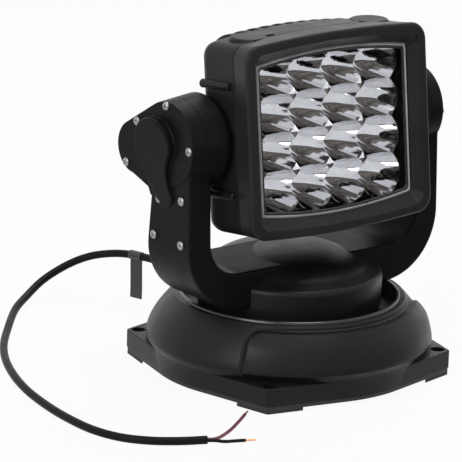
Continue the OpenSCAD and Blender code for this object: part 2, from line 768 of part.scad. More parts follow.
module head_section(inset, front, back) {
    slab(-front, -back) polygon(bowed(side_r - inset, head_h / 2 - inset, crown, corner_r - inset));
}
module lens_section(grow, front, back) {
    slab(-front, -back)
        polygon(bowed(opening_w / 2 + grow, opening_h / 2 + grow, opening_crown, opening_r + max(0, grow)));
}
module head_housing() {
    color(BLACK) tilted() difference() {
        union() {
            hull() {
                head_section(0, seam_y, 1);
                head_section(4, 1, -back_y);
            }
            difference() {
                head_section(head_wall + slip_gap, spigot_y, seam_y - cut);
                head_section(head_wall + spigot_t, spigot_y + cut, seam_y - 2 * cut);
            }
            mirrored_x() for (z = [-rib_z, rib_z]) translate([side_r, back_y - 1, z]) rotate([90, 0, 0])
                cylinder(h = seam_y + back_y - 5, r = rib_r);
            mirrored_x() top_pad(-seam_y, pad_r - pad_at.y);
            fins();
        }
        head_section(head_wall + spigot_t, seam_y + 2 * cut, -floor_y);
        along_x_head(-side_r - cut) cylinder(h = head_wall + 4 * cut, r = shaft_r + run_gap);
        along_x_head(side_r - head_wall - 3 * cut) cylinder(h = head_wall + 4 * cut, r = shaft_r + run_gap);
        mirrored_x() head_side_pocket();
        mirrored_x() pivot_screw_places() translate([0, 0, -head_wall])
            cylinder(h = head_wall + pivot_flange_t, r = screw_r + slip_gap);
        bezel_screw_places() translate([0, 0, -bezel_screw_l - cut])
            cylinder(h = bezel_screw_l + 2 * cut, r = screw_r + slip_gap);
    }
}
// Pocket that brings the side wall to its own thickness where a pivot flange seats
module head_side_pocket() {
    along_x_head(side_r - head_wall - 6) cylinder(h = 6, r = pivot_flange_r + 1);
}
module along_x_head(x) {
    translate([x, 0, 0]) rotate([90, 0, 90]) children();
}
// Round boss on the top of the head with a bevelled edge, between two depths
module top_pad(front, back) {
    foot = head_h / 2 - crown - 1;
    intersection() {
        translate([pad_at.x, -pad_at.y, foot]) {
            cylinder(h = pad_top - pad_edge - foot, r = pad_r);
            translate([0, 0, pad_top - pad_edge - foot])
                cylinder(h = pad_edge, r1 = pad_r, r2 = pad_r - pad_edge);
        }
        translate([pad_at.x - pad_r, front, foot]) cube([2 * pad_r, back - front, pad_top - foot]);
    }
}
module fins() {
    count = floor(fin_foot_w / fin_pitch);
    for (i = [0:count]) fin((i - count / 2) * fin_pitch);
}
module fin(x) {
    translate([x + fin_t / 2, 0, 0]) rotate([90, 0, -90]) linear_extrude(fin_t)
        fin_outline(head_h / 2 - crown * pow((abs(x) + fin_t / 2) / side_r, 2) - fin_drop);
}
// Side view of a fin up to a height: its foot is inside the head's back and its outer corners are round
module fin_outline(z) {
    mirror([1, 0, 0]) {
        polygon(concat(
            [[fin_foot_y, -z]],
            arc([back_y + fin_depth - fin_round, fin_round - z], fin_round, -90, 0, 6),
            arc([back_y + fin_depth - fin_round, z - fin_round], fin_round, 0, 90, 6),
            [[fin_foot_y, z]]));
    }
}
module bezel() {
    face_w = side_r + rim_flare;
    face_h = head_h / 2 + rim_flare / 2;
    color(BLACK) tilted() difference() {
        union() {
            hull() {
                slab(-rim_y, 1 - rim_y) polygon(bowed(face_w - 1.2, face_h - 1.2, crown, rim_corner_r - 1.2));
                slab(1.5 - rim_y, 3 - rim_y) polygon(bowed(face_w, face_h, crown, rim_corner_r));
                head_section(0, seam_y + 1, seam_y);
            }
            mirrored_x() top_pad(-pad_r - pad_at.y, -seam_y);
        }
        hull() {
            slab(-rim_y - 0.5, 0.2 - rim_y)
                polygon(bowed(face_w - rim_face, face_h - rim_face + 1, crown, rim_corner_r - 4));
            lens_section(0, lip_y + 1.5, lip_y + 1.3);
        }
        lens_section(0, rim_y, lens_y);
        head_section(head_wall, lip_y, seam_y - cut);
        bezel_screw_places() {
            translate([0, 0, -bezel_screw_l - cut])
                cylinder(h = bezel_screw_l + 2 * cut, r = screw_r + slip_gap);
            cylinder(h = 2 * rim_face, r = screw_head_r + slip_gap);
        }
    }
}
// Screw seats in the top pads and in the same places below
module bezel_screw_places() {
    seat_z = head_h / 2 - crown * pow(pad_screw.x / side_r, 2) - head_wall / 2;
    for (x = [-1, 1], s = [0, 180]) rotate([0, s, 0])
        translate([x * pad_screw.x, -pad_screw.y, seat_z]) children();
}
module bezel_screws() {
    color(STEEL) tilted() bezel_screw_places() screw(screw_r, screw_head_r, screw_head_h, bezel_screw_l);
}
module lens() {
    color([0.85, 0.9, 0.95, 0.35]) tilted() lens_section(lens_margin, lip_y, lens_y);
}
// Seal behind the lens, with a skirt at each side that hides the gap beside the reflector
module lens_gasket() {
    color(RUBBER) tilted() {
        difference() {
            lens_section(lens_margin, lens_y, spigot_y);
            lens_section(0.5, lens_y + cut, spigot_y - cut);
        }
        mirrored_x() translate([opening_w / 2 + 0.5, -spigot_y - gasket_t / 2, -skirt_h / 2])
            cube([gasket_t, spigot_y + gasket_t / 2 - cup_back - skirt_gap, skirt_h]);
    }
}

// Light source

module cup_places() {
    for (i = [0:cup_columns - 1], k = [0:cup_rows - 1])
        translate([
            (i - (cup_columns - 1) / 2) * cup_pitch_x, -cup_back, (k - (cup_rows - 1) / 2) * cup_pitch_z
        ]) rotate([90, 0, 0]) children();
}
// Parabola through the cup's mouth, cut off where the LED sits
function cup_curve() = [for (i = [0:6])
    let (r = led_hole_r + (cup_r - led_hole_r) * i / 6) [r, cup_depth * (r * r - led_hole_r * led_hole_r)
        / (cup_r * cup_r - led_hole_r * led_hole_r)]];
module reflector() {
    cup_out = cup_r + cup_shell;
    color(CHROME) tilted() difference() {
        cup_places() rotate_extrude() polygon([
            [0, 0], [2 * led_hole_r, 0], [cup_out, cup_depth * 0.55], [cup_out, cup_depth], [0, cup_depth]]);
        cup_places() rotate_extrude() polygon(concat(
            [[0, -cut], [led_hole_r, -cut]], cup_curve(), [[cup_r, cup_depth + cut], [0, cup_depth + cut]]));
    }
}
module led_board() {
    color("#c8ccc4") tilted() slab(-cup_back, floor_y)
        polygon(bowed(cup_columns * cup_pitch_x / 2 + 3, cup_rows * cup_pitch_z / 2 + 2.5, 1, 4));
}
module leds() {
    color("#e8d98a") tilted() cup_places() {
        translate([-1.75, -1.75, 0]) cube([3.5, 3.5, 0.8]);
        translate([0, 0, 0.8]) rotate_extrude() polygon(concat([[0, 0]], arc([0, 0], 1.6, 0, 90, 6)));
    }
}

// Pivots

module pivot_screw_places() {
    for (i = [0:3]) along_x_head(side_r - head_wall) rotate(45 + 90 * i)
        translate([pivot_flange_r - 4.5, 0, 0]) children();
}
module pivot(end) {
    difference() {
        union() {
            along_x_head(side_r - head_wall - pivot_flange_t)
                cylinder(h = pivot_flange_t, r = pivot_flange_r);
            along_x_head(side_r - head_wall) cylinder(h = end - side_r + head_wall, r = shaft_r);
        }
        along_x_head(0) cylinder(h = end + cut, r = wire_bore_r);
        pivot_screw_places() translate([0, 0, -pivot_flange_t - cut])
            cylinder(h = pivot_flange_t + 2 * cut, r = screw_r + slip_gap);
    }
}
module left_pivot() {
    color(STEEL) tilted() mirror([1, 0, 0]) pivot(gear_out);
}
module right_pivot() {
    color(STEEL) tilted() pivot(seam_x + 1);
}
module pivot_screws() {
    color(STEEL) tilted() mirrored_x() pivot_screw_places()
        translate([0, 0, -pivot_flange_t]) rotate([180, 0, 0])
            screw(screw_r, 2.6, 1.5, pivot_flange_t + head_wall - 1);
}
module pivot_clips() {
    color(STEEL) mirrored_x() along_x(bush_out + face_gap) ring(shaft_r, clip_r, 1.2);
}
module thrust_washers() {
    color("#d9d6cc") mirrored_x() along_x(side_r) ring(shaft_bush_r + 1, hub_r - 6, hub_gap - face_gap);
}

// Cable

// Points of one ring of a tube, square to the route at point i
function tube_ring(route, i, r, sides) =
    let (
        a = route[max(0, i - 1)], b = route[min(len(route) - 1, i + 1)], t = (b - a) / norm(b - a),
        side = cross(t, [0, 0, 1]), u = side / norm(side), v = cross(u, t)
    )
    [for (k = [0:sides - 1]) route[i] + r * (cos(360 * k / sides) * u + sin(360 * k / sides) * v)];
// Smooth route through the given points, with extra points between each pair
function smooth_at(p, i, t) =
    let (
        n = len(p) - 1, p0 = p[max(0, i - 1)], p1 = p[i], p2 = p[min(n, i + 1)], p3 = p[min(n, i + 2)],
        h = (p3 - p1) / 2, g = (p2 - p0) / 2
    )
    bezier(p1, p1 + g / 3, p2 - h / 3, p2, t);
function smooth(p, steps) =
    concat([for (i = [0:len(p) - 2], s = [0:steps - 1]) smooth_at(p, i, s / steps)], [p[len(p) - 1]]);
module tube(route, r, sides) {
    n = len(route);
    rings = [for (i = [0:n - 1]) each tube_ring(route, i, r, sides)];
    polyhedron(rings, concat(
        [[for (k = [0:sides - 1]) k]],
        [for (i = [0:n - 2], k = [0:sides - 1]) let (j = (k + 1) % sides)
            [i * sides + k, (i + 1) * sides + k, (i + 1) * sides + j, i * sides + j]],
        [[for (k = [sides - 1:-1:0]) (n - 1) * sides + k]]));
}
module power_cable() {
    color(RUBBER) tube(smooth(cable_points, 2), cable_r, cable_sides);
}
module red_wire() {
    color("#8c4a55") tube(smooth(red_points, 2), wire_d / 2, wire_sides);
}
module black_wire() {
    color(RUBBER) tube(smooth(black_points, 2), wire_d / 2, wire_sides);
}
// Bare copper end that carries on from the last stretch of a wire
module wire_tip(points) {
    n = len(points) - 1;
    t = points[n] - points[n - 1];
    translate(points[n]) rotate([0, 90, atan2(t.y, t.x)]) translate([0, 0, -tip_grip])
        cylinder(h = tip_l, r = wire_d / 2 - 0.4);
}
module wire_tips() {
    color("#b5713c") {
        wire_tip(red_points);
        wire_tip(black_points);
    }
}
// Blank flag folded round the cable
module cable_tag() {
    color("#5a5c60") translate(tag_at) rotate([0, 0, tag_turn]) {
        rotate([90, 0, 0]) translate([0, 0, -tag_size.y / 2]) ring(cable_r, cable_r + tag_size.x, tag_size.y);
        translate([-tag_size.x / 2, -tag_size.y / 2, -cable_r - tag_size.z]) cube(tag_size);
    }
}

base_housing();
base_plate();
base_feet();
base_seal();
base_screws();
rim_ring();
cable_gland();
pan_bush();
pan_motor();
pan_pinion();
control_board();
yoke_frame();
left_arm_cover();
right_arm_cover();
left_cover_screws();
right_cover_screws();
pan_spindle();
spindle_screws();
pan_gear();
retaining_ring();
left_bush();
right_bush();
tilt_motor();
tilt_pinion();
tilt_idler();
idler_pin();
head_housing();
bezel();
bezel_screws();
lens();
lens_gasket();
reflector();
led_board();
leds();
left_pivot();
right_pivot();
pivot_screws();
pivot_clips();
thrust_washers();
tilt_gear();
power_cable();
red_wire();
black_wire();
wire_tips();
cable_tag();
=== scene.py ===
"""Looks of the marine searchlight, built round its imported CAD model.

Metres in Blender, +Z up, the lamp faces -Y. Sizes below are in millimetres, as in the CAD source,
and names that end in EDGE hold the radius of a rounded edge and its number of steps.
"""

import json
import math

import bmesh
import bpy
from mathutils import Matrix, Vector


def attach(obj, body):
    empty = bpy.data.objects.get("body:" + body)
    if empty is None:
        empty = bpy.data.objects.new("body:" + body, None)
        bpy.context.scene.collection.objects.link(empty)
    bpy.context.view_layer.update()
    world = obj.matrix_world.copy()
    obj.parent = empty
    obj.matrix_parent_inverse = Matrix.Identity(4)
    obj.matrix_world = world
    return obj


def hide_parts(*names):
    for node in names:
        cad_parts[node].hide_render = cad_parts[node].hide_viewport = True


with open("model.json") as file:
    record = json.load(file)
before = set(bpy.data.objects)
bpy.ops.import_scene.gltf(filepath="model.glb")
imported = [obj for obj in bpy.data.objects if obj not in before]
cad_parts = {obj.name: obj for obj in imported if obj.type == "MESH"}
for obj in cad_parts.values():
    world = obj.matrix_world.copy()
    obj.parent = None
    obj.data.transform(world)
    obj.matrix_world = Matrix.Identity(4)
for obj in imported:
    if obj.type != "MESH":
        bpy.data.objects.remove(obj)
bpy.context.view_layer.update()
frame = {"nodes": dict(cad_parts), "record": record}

MM = 0.001

# Base
BASE_R = 96.5
BASE_H = 51.5
SHOULDER_Z = 22
SHOULDER_PULL = 10
TOP_R = 78.7
TOP_PULL = (6.8, 7.2)
SKIRT_R = BASE_R - 2.5
HOUSING_Z = 4.8
EAR_REACH = 107.53
EAR_ROUND = 3
EAR_TOP = 17.3
EAR_TOP_EDGE = (0.8, 3)
EAR_FOOT_EDGE = (0.4, 2)
WELL_R = 73
WELL_Z = 44
WELL_IN = 20
HOLE_SPACING = 145
HOLE_R = 4.85
PANEL_HALF = 56
PANEL_PROUD = 3.8
PANEL_CORNER = 9
PANEL_BEVEL = 1.8
PANEL_GROOVE = 0.9
PANEL_GROOVE_W = 1.1
PANEL_LOW = 3
PANEL_HIGH = 5.5
PANEL_FOOT_SHARE = 0.45
PANEL_GROWTH = 1.6
PANEL_FACING = Vector((1, 0.35)).normalized()
GLAND_Z = 36
GLAND_R = 10
GLAND_L = 22
GLAND_CHAMFER = 0.7
BELL_STEPS = 56
BELL_TURNS = 360

# Yoke
DRUM_R = 62.7
DRUM_IN = 20
DRUM_BOTTOM = 47
DRUM_TOP = 70.6
DRUM_CHAMFER = 0.6
DRUM_ROUND = 4.5
DOME_TOP = 86
ARM_OUT = 106.5
ARM_IN = 88.5
SEAM_X = 95.5
SEAM_GAP = 0.05
SEAM_EDGE = (0.3, 2)
YOKE_FRONT = -28
YOKE_REAR = 16.5
YOKE_BOTTOM = 56
YOKE_FLOOR = 81.5
YOKE_EDGE = (2, 5)
FRONT_DRAFT = 0.04
REAR_DRAFT = 0.09
REAR_Z = 138
FLOOR_SLOPE = 0.08
OUTER_R = 46.5
INNER_R = 24
TILT_Z = 169.3
HUB_R = 28.5
HUB_IN = 75
HUB_FACE = ARM_OUT + 0.7
HUB_DRAFT = 0.11
HUB_EDGE = (0.5, 2)
HUB_ROOT_EDGE = (1, 2)
COVER_EDGE = (0.9, 5)
NOSE = Vector((36.5, -9.8))
NOSE_R = 17.7
NOSE_IN = 79
NOSE_EDGE = (1.5, 5)
WEB_DROP = 38
BUMP = (Vector((9.6, -2.8)), 19.4, Vector((0.5, -32.8)), 9.5)
BUMP_H = 6.4
BUMP_SLOPE = 0.019
BUMP_EDGE = (1.4, 5)
BUMP_FLARE = 0.7
BUMP_STEP = 0.8
WAIST = (Vector((-30, -19.5)), 26)

# Cover screws, at Y and height over the tilt axis
SCREW_R = 3
SCREW_H = 1.8
RECESS_REACH = 1.7
RECESS_HALF = 0.35
RECESS_FLOOR = 0.9
RECESS_TOP = 2.4
RECESS_TAPER = 0.2
LEFT_SCREWS = [
    (1, 25.6), (32.4, 8.9), (43.4, -21.4), (-24.6, 0.6), (-17, -34.6), (7, -38.2), (12.1, -63.9),
    (-17.6, -64.4),
]
RIGHT_SCREWS = [(0, 24.6), (24.6, 0), (-24.6, 0), (-17, -34.6), (9.2, -34.6), (12.1, -63.9), (-17.6, -64.4)]
LEFT_TURN = 31
RIGHT_TURN = 47

# Head, about the tilt axis
REST_TILT = 6.7
HEAD_W = 148
HEAD_H = 132
CROWN = 3.5
REAR_RISE = 2
CORNER_R = 10
SEAM_Y = 32
RIM_Y = 49.5
LIP_Y = 41.5
LENS_T = 2.5
LENS_HIDDEN = 6
LENS_CHAMFER = 0.3
LENS_RIM_W = 1.5
BEAD_IN = 1.4
BEAD_R = 0.9
BACK_Y = 3.5
RIM_FLARE = 2.3
RIM_FACE = 7
RIM_CORNER_R = 12
RIM_EDGE = (2.4, 6)
OPENING_W = 128
OPENING_H = 111.5
OPENING_CROWN = 5.3
OPENING_R = 2
RIB_Z = 36.5
RIB_R = 3
RIB_L = SEAM_Y + BACK_Y - 5
RIB_CHAMFER = 0.8
PAD_AT = (50.3, SEAM_Y - 11.3)
PAD_R = 14
PAD_TOP = HEAD_H / 2 + 0.7
PAD_ROUND = 1.6
PAD_LEAN = 5
PAD_SCREW = (39, SEAM_Y - 4.5)
PAD_HOLE_R = 3.2
HEAD_WALL = 3
CAVITY_INSET = 5
CAVITY_FLOOR = 6.4
FIN_DEPTH = 28
FIN_T = 4.2
FIN_PITCH = 10
FIN_COUNT = 10
FIN_DROP = 0.3
FIN_FOOT = -3
FIN_ROUND = 24
FIN_EDGE = (0.6, 2)

# Reflector
CUPS = 4
CUP_PITCH_X = 28.55
CUP_PITCH_Z = 25.28
CUP_RISE = 2
CUP_R = 16.4
CUP_DEPTH = 27.5
CUP_BACK = 8
CUP_RINGS = 14
CUP_LIP = 0.7
CUP_WALL = 14
DIAMOND_RISE = 1.2
LED_HOLE_R = 4.2
LED_R = 1.6
LED_BASE = 1.75
LED_BASE_H = 0.8
LED_SINK = 0.5

# Cable
CABLE_D = 5.5
WIRE_D = 2.2
CABLE_EXIT = (0, 121.5, 36)
CABLE_ROUTE = [
    CABLE_EXIT, (0, 136, 36), (-0.5, 156.5, 35), (-3.5, 171.5, 34.5), (-7.5, 183, 33.5), (-13, 192, 32),
    (-20.5, 200.5, 29.5), (-30, 207, 25.5), (-42, 211, 20), (-56.5, 211.5, 13.5), (-73, 205.5, 7.2),
    (-92.5, 192, 3.6), (-120, 161, 2.8), (-144, 131, 2.8), (-161.5, 103, 2.8), (-175.5, 73, 2.8),
    (-186, 42.5, 2.8), (-192.5, 12.5, 2.8), (-196, -16, 2.8), (-196, -45, 2.8), (-190, -67, 2.8),
    (-178, -83, 2.8), (-162, -94.5, 2.8), (-146, -102, 2.8),
]
RED_ROUTE = [
    (-146, -100.7, 2.8), (-140.5, -102.3, 2.4), (-132, -98.5, 1.3), (-119, -91.5, 1.2), (-104, -81, 1.2),
    (-92, -72, 1.2),
]
BLACK_ROUTE = [
    (-151.5, -100.8, 2.8), (-147, -102.9, 2.8), (-141.5, -105.4, 2.4), (-136, -107.6, 1.4),
    (-129, -110, 1.2), (-123, -112.5, 1.2),
]
TIP_L = 7
STRAND_R = 0.21
STRAND_RING_R = 0.42
STRAND_STEP = 0.25
TAG_AT = (-3.2, 170.2, 34.5)
TAG_W, TAG_H, TAG_T = 10.4, 29, 0.6
TAG_TURN = 14.8
TAG_SINK = 0.4
TAG_CURL = 0.8
TAG_CURL_TURN = 2.6
TAG_STEPS = 12

# Meshes
SHARP_ANGLE = 35
BOW_STEPS = 24
FACING_FRONT = Matrix.Rotation(math.radians(90), 4, "X")

# Surfaces
GLOSS_PATCH = 3.7
GLOSS_VARY = 0.05
GRAIN_STRENGTH = 0.35
DRAWN = (1, 8, 8)
STRANDED = (1, 1, 6)

# Studio, in metres
WORLD_LEVEL = 0.13
FLOOR_HALF = 6
FLOOR_GLOW = 0.94
TABLE_HALF = 3
TABLE_FRONT = -4
TABLE_REAR = -0.17
TABLE_Z = 0.002
SEEN_RAYS = ("Is Camera Ray", "Is Glossy Ray", "Is Transmission Ray")

# Camera, from the photograph
CAMERA_FROM = Vector((-1.52772, -1.88192, 0.79178))
CAMERA_AIM = Vector((-0.03195, 0.02506, 0.09289))
CAMERA_ROLL = 1.693
CAMERA_LENS = 290.815


def place_camera():
    back = (CAMERA_FROM - CAMERA_AIM).normalized()
    right = Matrix.Rotation(math.radians(CAMERA_ROLL), 3, back) @ Vector((0, 0, 1)).cross(back).normalized()
    data = bpy.data.cameras.new("camera")
    data.lens = CAMERA_LENS
    data.sensor_width = 36
    camera = bpy.data.objects.new("camera", data)
    bpy.context.scene.collection.objects.link(camera)
    axes = Matrix((right, back.cross(right), back)).transposed().to_4x4()
    camera.matrix_world = Matrix.Translation(CAMERA_FROM) @ axes
    bpy.context.scene.camera = camera


place_camera()


# Materials


def fill(node, **sockets):
    """Sets a node's sockets, with _ for the spaces in their names."""
    for name, value in sockets.items():
        node.inputs[name.replace("_", " ")].default_value = value


class Nodes:
    """A material's node tree, with short calls to add nodes and links."""

    def __init__(self, name):
        self.material = bpy.data.materials.new(name)
        self.material.use_nodes = True
        self.tree = self.material.node_tree
        self.shader = self.tree.nodes["Principled BSDF"]
        self.coords = self.add("ShaderNodeTexCoord").outputs["Object"]

    def add(self, kind, **sockets):
        node = self.tree.nodes.new(kind)
        fill(node, **sockets)
        return node

    def set(self, **sockets):
        fill(self.shader, **sockets)

    def link(self, output, socket):
        self.tree.links.new(output, socket)

    def feed(self, output, name):
        """Links an output to the shader's socket of that name."""
        self.link(output, self.shader.inputs[name])

    def noise(self, scale, detail=3, stretch=None):
        node = self.add("ShaderNodeTexNoise", Scale=scale, Detail=detail)
        source = self.coords
        if stretch:
            mapping = self.add("ShaderNodeMapping", Scale=stretch)
            self.link(self.coords, mapping.inputs["Vector"])
            source = mapping.outputs["Vector"]
        self.link(source, node.inputs["Vector"])
        return node.outputs["Fac"]

    def ramp(self, fac, dark, light, low=0.3, high=0.7):
        """Colour that goes from dark to light while fac goes from low to high."""
        node = self.add("ShaderNodeValToRGB")
        for element, at, colour in zip(node.color_ramp.elements, (low, high), (dark, light)):
            element.position = at
            element.color = (*colour, 1)
        self.link(fac, node.inputs["Fac"])
        return node.outputs["Color"]

    def span(self, fac, low, high):
        """Value that goes from low to high over most of a noise's range."""
        node = self.add("ShaderNodeMapRange", From_Min=0.3, From_Max=0.7, To_Min=low, To_Max=high)
        self.link(fac, node.inputs["Value"])
        return node.outputs["Result"]

    def bump(self, height, strength, distance):
        node = self.add("ShaderNodeBump", Strength=strength, Distance=distance)
        self.link(height, node.inputs["Height"])
        self.feed(node.outputs["Normal"], "Normal")


def tone(colour, factor):
    return tuple(c * factor for c in colour)


def surface(
    name, colour, rough, grain, grain_depth, patch=18, vary=0.25, specular=0.5, metal=0.0, stretch=None
):
    """Material with soft colour patches, an uneven gloss and a fine grain of about 1 / grain metres."""
    n = Nodes(name)
    n.set(Metallic=metal, Specular_IOR_Level=specular)
    n.feed(n.ramp(n.noise(patch, 4), tone(colour, 1 - vary), tone(colour, 1 + vary)), "Base Color")
    n.feed(n.span(n.noise(patch * GLOSS_PATCH, 3), rough - GLOSS_VARY, rough + GLOSS_VARY), "Roughness")
    n.bump(n.noise(grain, 2, stretch), GRAIN_STRENGTH, grain_depth)
    return n.material


def clear_lens():
    n = Nodes("clear_lens")
    n.set(Transmission_Weight=1.0, IOR=1.2, Base_Color=(0.97, 0.98, 1.0, 1))
    n.feed(n.span(n.noise(25, 3), 0.0, 0.02), "Roughness")
    return n.material


def mirror_plastic():
    """Vacuum-metallised plastic, with the faint draw marks of its tool."""
    n = Nodes("mirror_plastic")
    n.set(Metallic=1.0)
    n.feed(n.ramp(n.noise(60, 3), (0.72, 0.72, 0.73), (0.84, 0.84, 0.85)), "Base Color")
    n.feed(n.span(n.noise(140, 2), 0.03, 0.07), "Roughness")
    n.bump(n.noise(180, 2, (1, 0.25, 1)), 0.12, 0.0006)
    return n.material


MATERIALS = {
    "black_moulding": surface("black_moulding", (0.0125, 0.0125, 0.013), 0.37, 2600, 0.00010, specular=0.18),
    "dark_moulding": surface("dark_moulding", (0.012, 0.012, 0.013), 0.55, 2200, 0.00012),
    "black_casting": surface("black_casting", (0.0135, 0.0135, 0.014), 0.42, 1500, 0.00012, specular=0.16),
    "lip": surface("lip", (0.02, 0.02, 0.021), 0.22, 900, 0.00003),
    "rubber": surface("rubber", (0.012, 0.012, 0.012), 0.7, 1800, 0.00015),
    "steel": surface("steel", (0.34, 0.345, 0.35), 0.36, 1200, 0.00004, metal=1.0, vary=0.1),
    "aluminium": surface(
        "aluminium", (0.66, 0.66, 0.68), 0.34, 900, 0.00004, metal=1.0, vary=0.08, stretch=DRAWN
    ),
    "bronze": surface("bronze", (0.55, 0.38, 0.17), 0.33, 900, 0.00004, metal=1.0, vary=0.1),
    "gear_plastic": surface("gear_plastic", (0.7, 0.69, 0.64), 0.4, 700, 0.00005, vary=0.05),
    "motor_can": surface("motor_can", (0.08, 0.08, 0.09), 0.38, 900, 0.00004, vary=0.15),
    "circuit_board": surface("circuit_board", (0.02, 0.14, 0.06), 0.42, 500, 0.00005, patch=300, vary=0.3),
    "lens": clear_lens(),
    "reflector": mirror_plastic(),
    "led_board": surface("led_board", (0.7, 0.71, 0.69), 0.5, 400, 0.00004, patch=200, vary=0.06),
    "led": surface("led", (0.8, 0.62, 0.16), 0.2, 600, 0.00004, patch=400, vary=0.15),
    "washer": surface("washer", (0.7, 0.69, 0.64), 0.45, 600, 0.00004, vary=0.05),
    "cable_jacket": surface("cable_jacket", (0.008, 0.008, 0.0085), 0.45, 1400, 0.00008, specular=0.1),
    "red_insulation": surface("red_insulation", (0.28, 0.07, 0.10), 0.42, 1400, 0.00006, patch=120),
    "copper": surface("copper", (0.75, 0.40, 0.20), 0.35, 2400, 0.0002, metal=1.0, vary=0.15, stretch=STRANDED),
    "tag": surface("tag", (0.03, 0.031, 0.033), 0.45, 500, 0.00006, patch=90, vary=0.12),
}

# A lighter copy of the black moulding, for the bezel: painted light.
LIT_MOULDING = surface("painted_light_moulding", (0.0225, 0.0225, 0.023), 0.36, 2600, 0.00010, specular=0.15)
# A darker copy of the black moulding with a weaker gloss, for the yoke and its covers: painted shade.
SHADED_MOULDING = surface("painted_shade_moulding", (0.0095, 0.0095, 0.010), 0.38, 2600, 0.00010, specular=0.06)
# A pale grey for the lens's bevelled edge: a painted highlight in place of the light that the glass edge
# reflects. The bevel's own shading under the lamps is real.
EDGE_HIGHLIGHT = surface("painted_highlight_edge", (0.6, 0.6, 0.6), 0.3, 700, 0.00003, patch=60, vary=0.2)
BLACKENED = surface("blackened_steel", (0.02, 0.02, 0.022), 0.4, 1200, 0.00004, metal=1.0)
ANODISED = surface("black_anodised", (0.012, 0.012, 0.013), 0.38, 900, 0.00005, specular=0.3, stretch=DRAWN)
FINISHES = {
    "bezel_screws": BLACKENED,
    "pivot_screws": BLACKENED,
    "left_pivot": ANODISED,
    "right_pivot": ANODISED,
    "lens_gasket": MATERIALS["lip"],
}
for row in frame["record"]["subparts"]:
    part = frame["nodes"][row["node"]].data
    part.materials.clear()
    part.materials.append(FINISHES.get(row["node"], MATERIALS[row["material_slot"]]))


# Cords


def smooth_route(route):
    """Points of a Bezier curve through the route, whose handles follow its neighbours."""
    points = [Vector(p) * MM for p in route]
    last = len(points) - 1
    return [
        (p, (points[min(last, i + 1)] - points[max(0, i - 1)]) / (6 if 0 < i < last else 3))
        for i, p in enumerate(points)
    ]


def cord_curve(name, route, diameter, slot):
    data = bpy.data.curves.new(name, "CURVE")
    data.dimensions = "3D"
    data.resolution_u = 8
    data.bevel_depth = diameter / 2 * MM
    data.bevel_resolution = 6
    data.use_fill_caps = True
    spline = data.splines.new("BEZIER")
    spline.bezier_points.add(len(route) - 1)
    for point, (at, lean) in zip(spline.bezier_points, smooth_route(route)):
        point.handle_left_type = point.handle_right_type = "FREE"
        point.co, point.handle_left, point.handle_right = at, at - lean, at + lean
    data.materials.append(MATERIALS[slot])
    piece = bpy.data.objects.new(name, data)
    bpy.context.scene.collection.objects.link(piece)
    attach(piece, "base")
    return piece


cable = cord_curve("cable_jacket", CABLE_ROUTE, CABLE_D, "cable_jacket")
red = cord_curve("red_core", RED_ROUTE, WIRE_D, "red_insulation")
black = cord_curve("black_core", BLACK_ROUTE, WIRE_D, "cable_jacket")
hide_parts("power_cable")
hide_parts("red_wire")
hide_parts("black_wire")


# Mesh building: a part is a list of points in metres and a list of faces


def mesh_of(parts):
    bm = bmesh.new()
    for points, faces in parts:
        verts = [bm.verts.new(p) for p in points]
        for face in faces:
            bm.faces.new([verts[i] for i in face])
    return bm


def shade(mesh, material):
    mesh.shade_smooth()
    mesh.set_sharp_from_angle(angle=math.radians(SHARP_ANGLE))
    mesh.materials.append(material)


def build(name, body, slot, parts, replaces=(), painted_light_material=None):
    """One object from parts, that rides on a body; a material with painted light or shade may take the place of
    its slot's material.
    """
    bm = mesh_of(parts)
    bmesh.ops.remove_doubles(bm, verts=bm.verts, dist=1e-7)
    bmesh.ops.recalc_face_normals(bm, faces=bm.faces)
    mesh = bpy.data.meshes.new(name)
    bm.to_mesh(mesh)
    bm.free()
    shade(mesh, painted_light_material or MATERIALS[slot])
    piece = bpy.data.objects.new(name, mesh)
    bpy.context.scene.collection.objects.link(piece)
    piece.modifiers.new("even_shading", "WEIGHTED_NORMAL").keep_sharp = True
    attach(piece, body)
    if replaces:
        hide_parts(*replaces)
    return piece


def moved(part, matrix):
    points, faces = part
    return [matrix @ Vector(p) for p in points], faces


def loft(loops, capped=True):
    """Skin over loops with the same number of points; caps close its first and last loops."""
    n = len(loops[0])
    points = [p for loop in loops for p in loop]
    faces = []
    for k in range(len(loops) - 1):
        for i in range(n):
            j = (i + 1) % n
            faces.append((k * n + i, k * n + j, (k + 1) * n + j, (k + 1) * n + i))
    if capped:
        faces.append(tuple(reversed(range(n))))
        faces.append(tuple((len(loops) - 1) * n + i for i in range(n)))
    return points, faces


def hoop(loops):
    """Skin over loops, the last of which leads back to the first."""
    return loft(loops + loops[:1], capped=False)


def lathe(profile, steps=128, ring=False):
    """Turned part about Z from (radius, height) points; a ring's profile closes on itself."""
    turns = [2 * math.pi * i / steps for i in range(steps)]
    loops = [[Vector((r * math.cos(a), r * math.sin(a), z)) * MM for a in turns] for r, z in profile]
    return hoop(loops) if ring else loft(loops)


def arc(centre, radius, start, end, steps):
    """Points of an arc, angles in degrees."""
    out = []
    for i in range(steps + 1):
        a = math.radians(start + (end - start) * i / steps)
        out.append(Vector(centre) + radius * Vector((math.cos(a), math.sin(a))))
    return out


def bezier(a, b, c, d, steps):
    """Points of a cubic Bezier curve."""
    out = []
    for i in range(steps + 1):
        t = i / steps
        out.append((1 - t) ** 3 * a + 3 * t * (1 - t) ** 2 * b + 3 * t * t * (1 - t) * c + t ** 3 * d)
    return out


def rectangle(x, y):
    """Outline of a rectangle from its half sizes."""
    return [Vector((-x, -y)), Vector((x, -y)), Vector((x, y)), Vector((-x, y))]


def joined(a, ra, b, rb, between=()):
    """Outline of two circles joined by straight sides, one of which may have points between its ends."""
    line = b - a
    t = math.degrees(math.atan2(line.y, line.x))
    w = math.degrees(math.acos((ra - rb) / line.length))
    return arc(a, ra, t + w, t - w + 360, 48) + list(between) + arc(b, rb, t - w, t + w, 32)


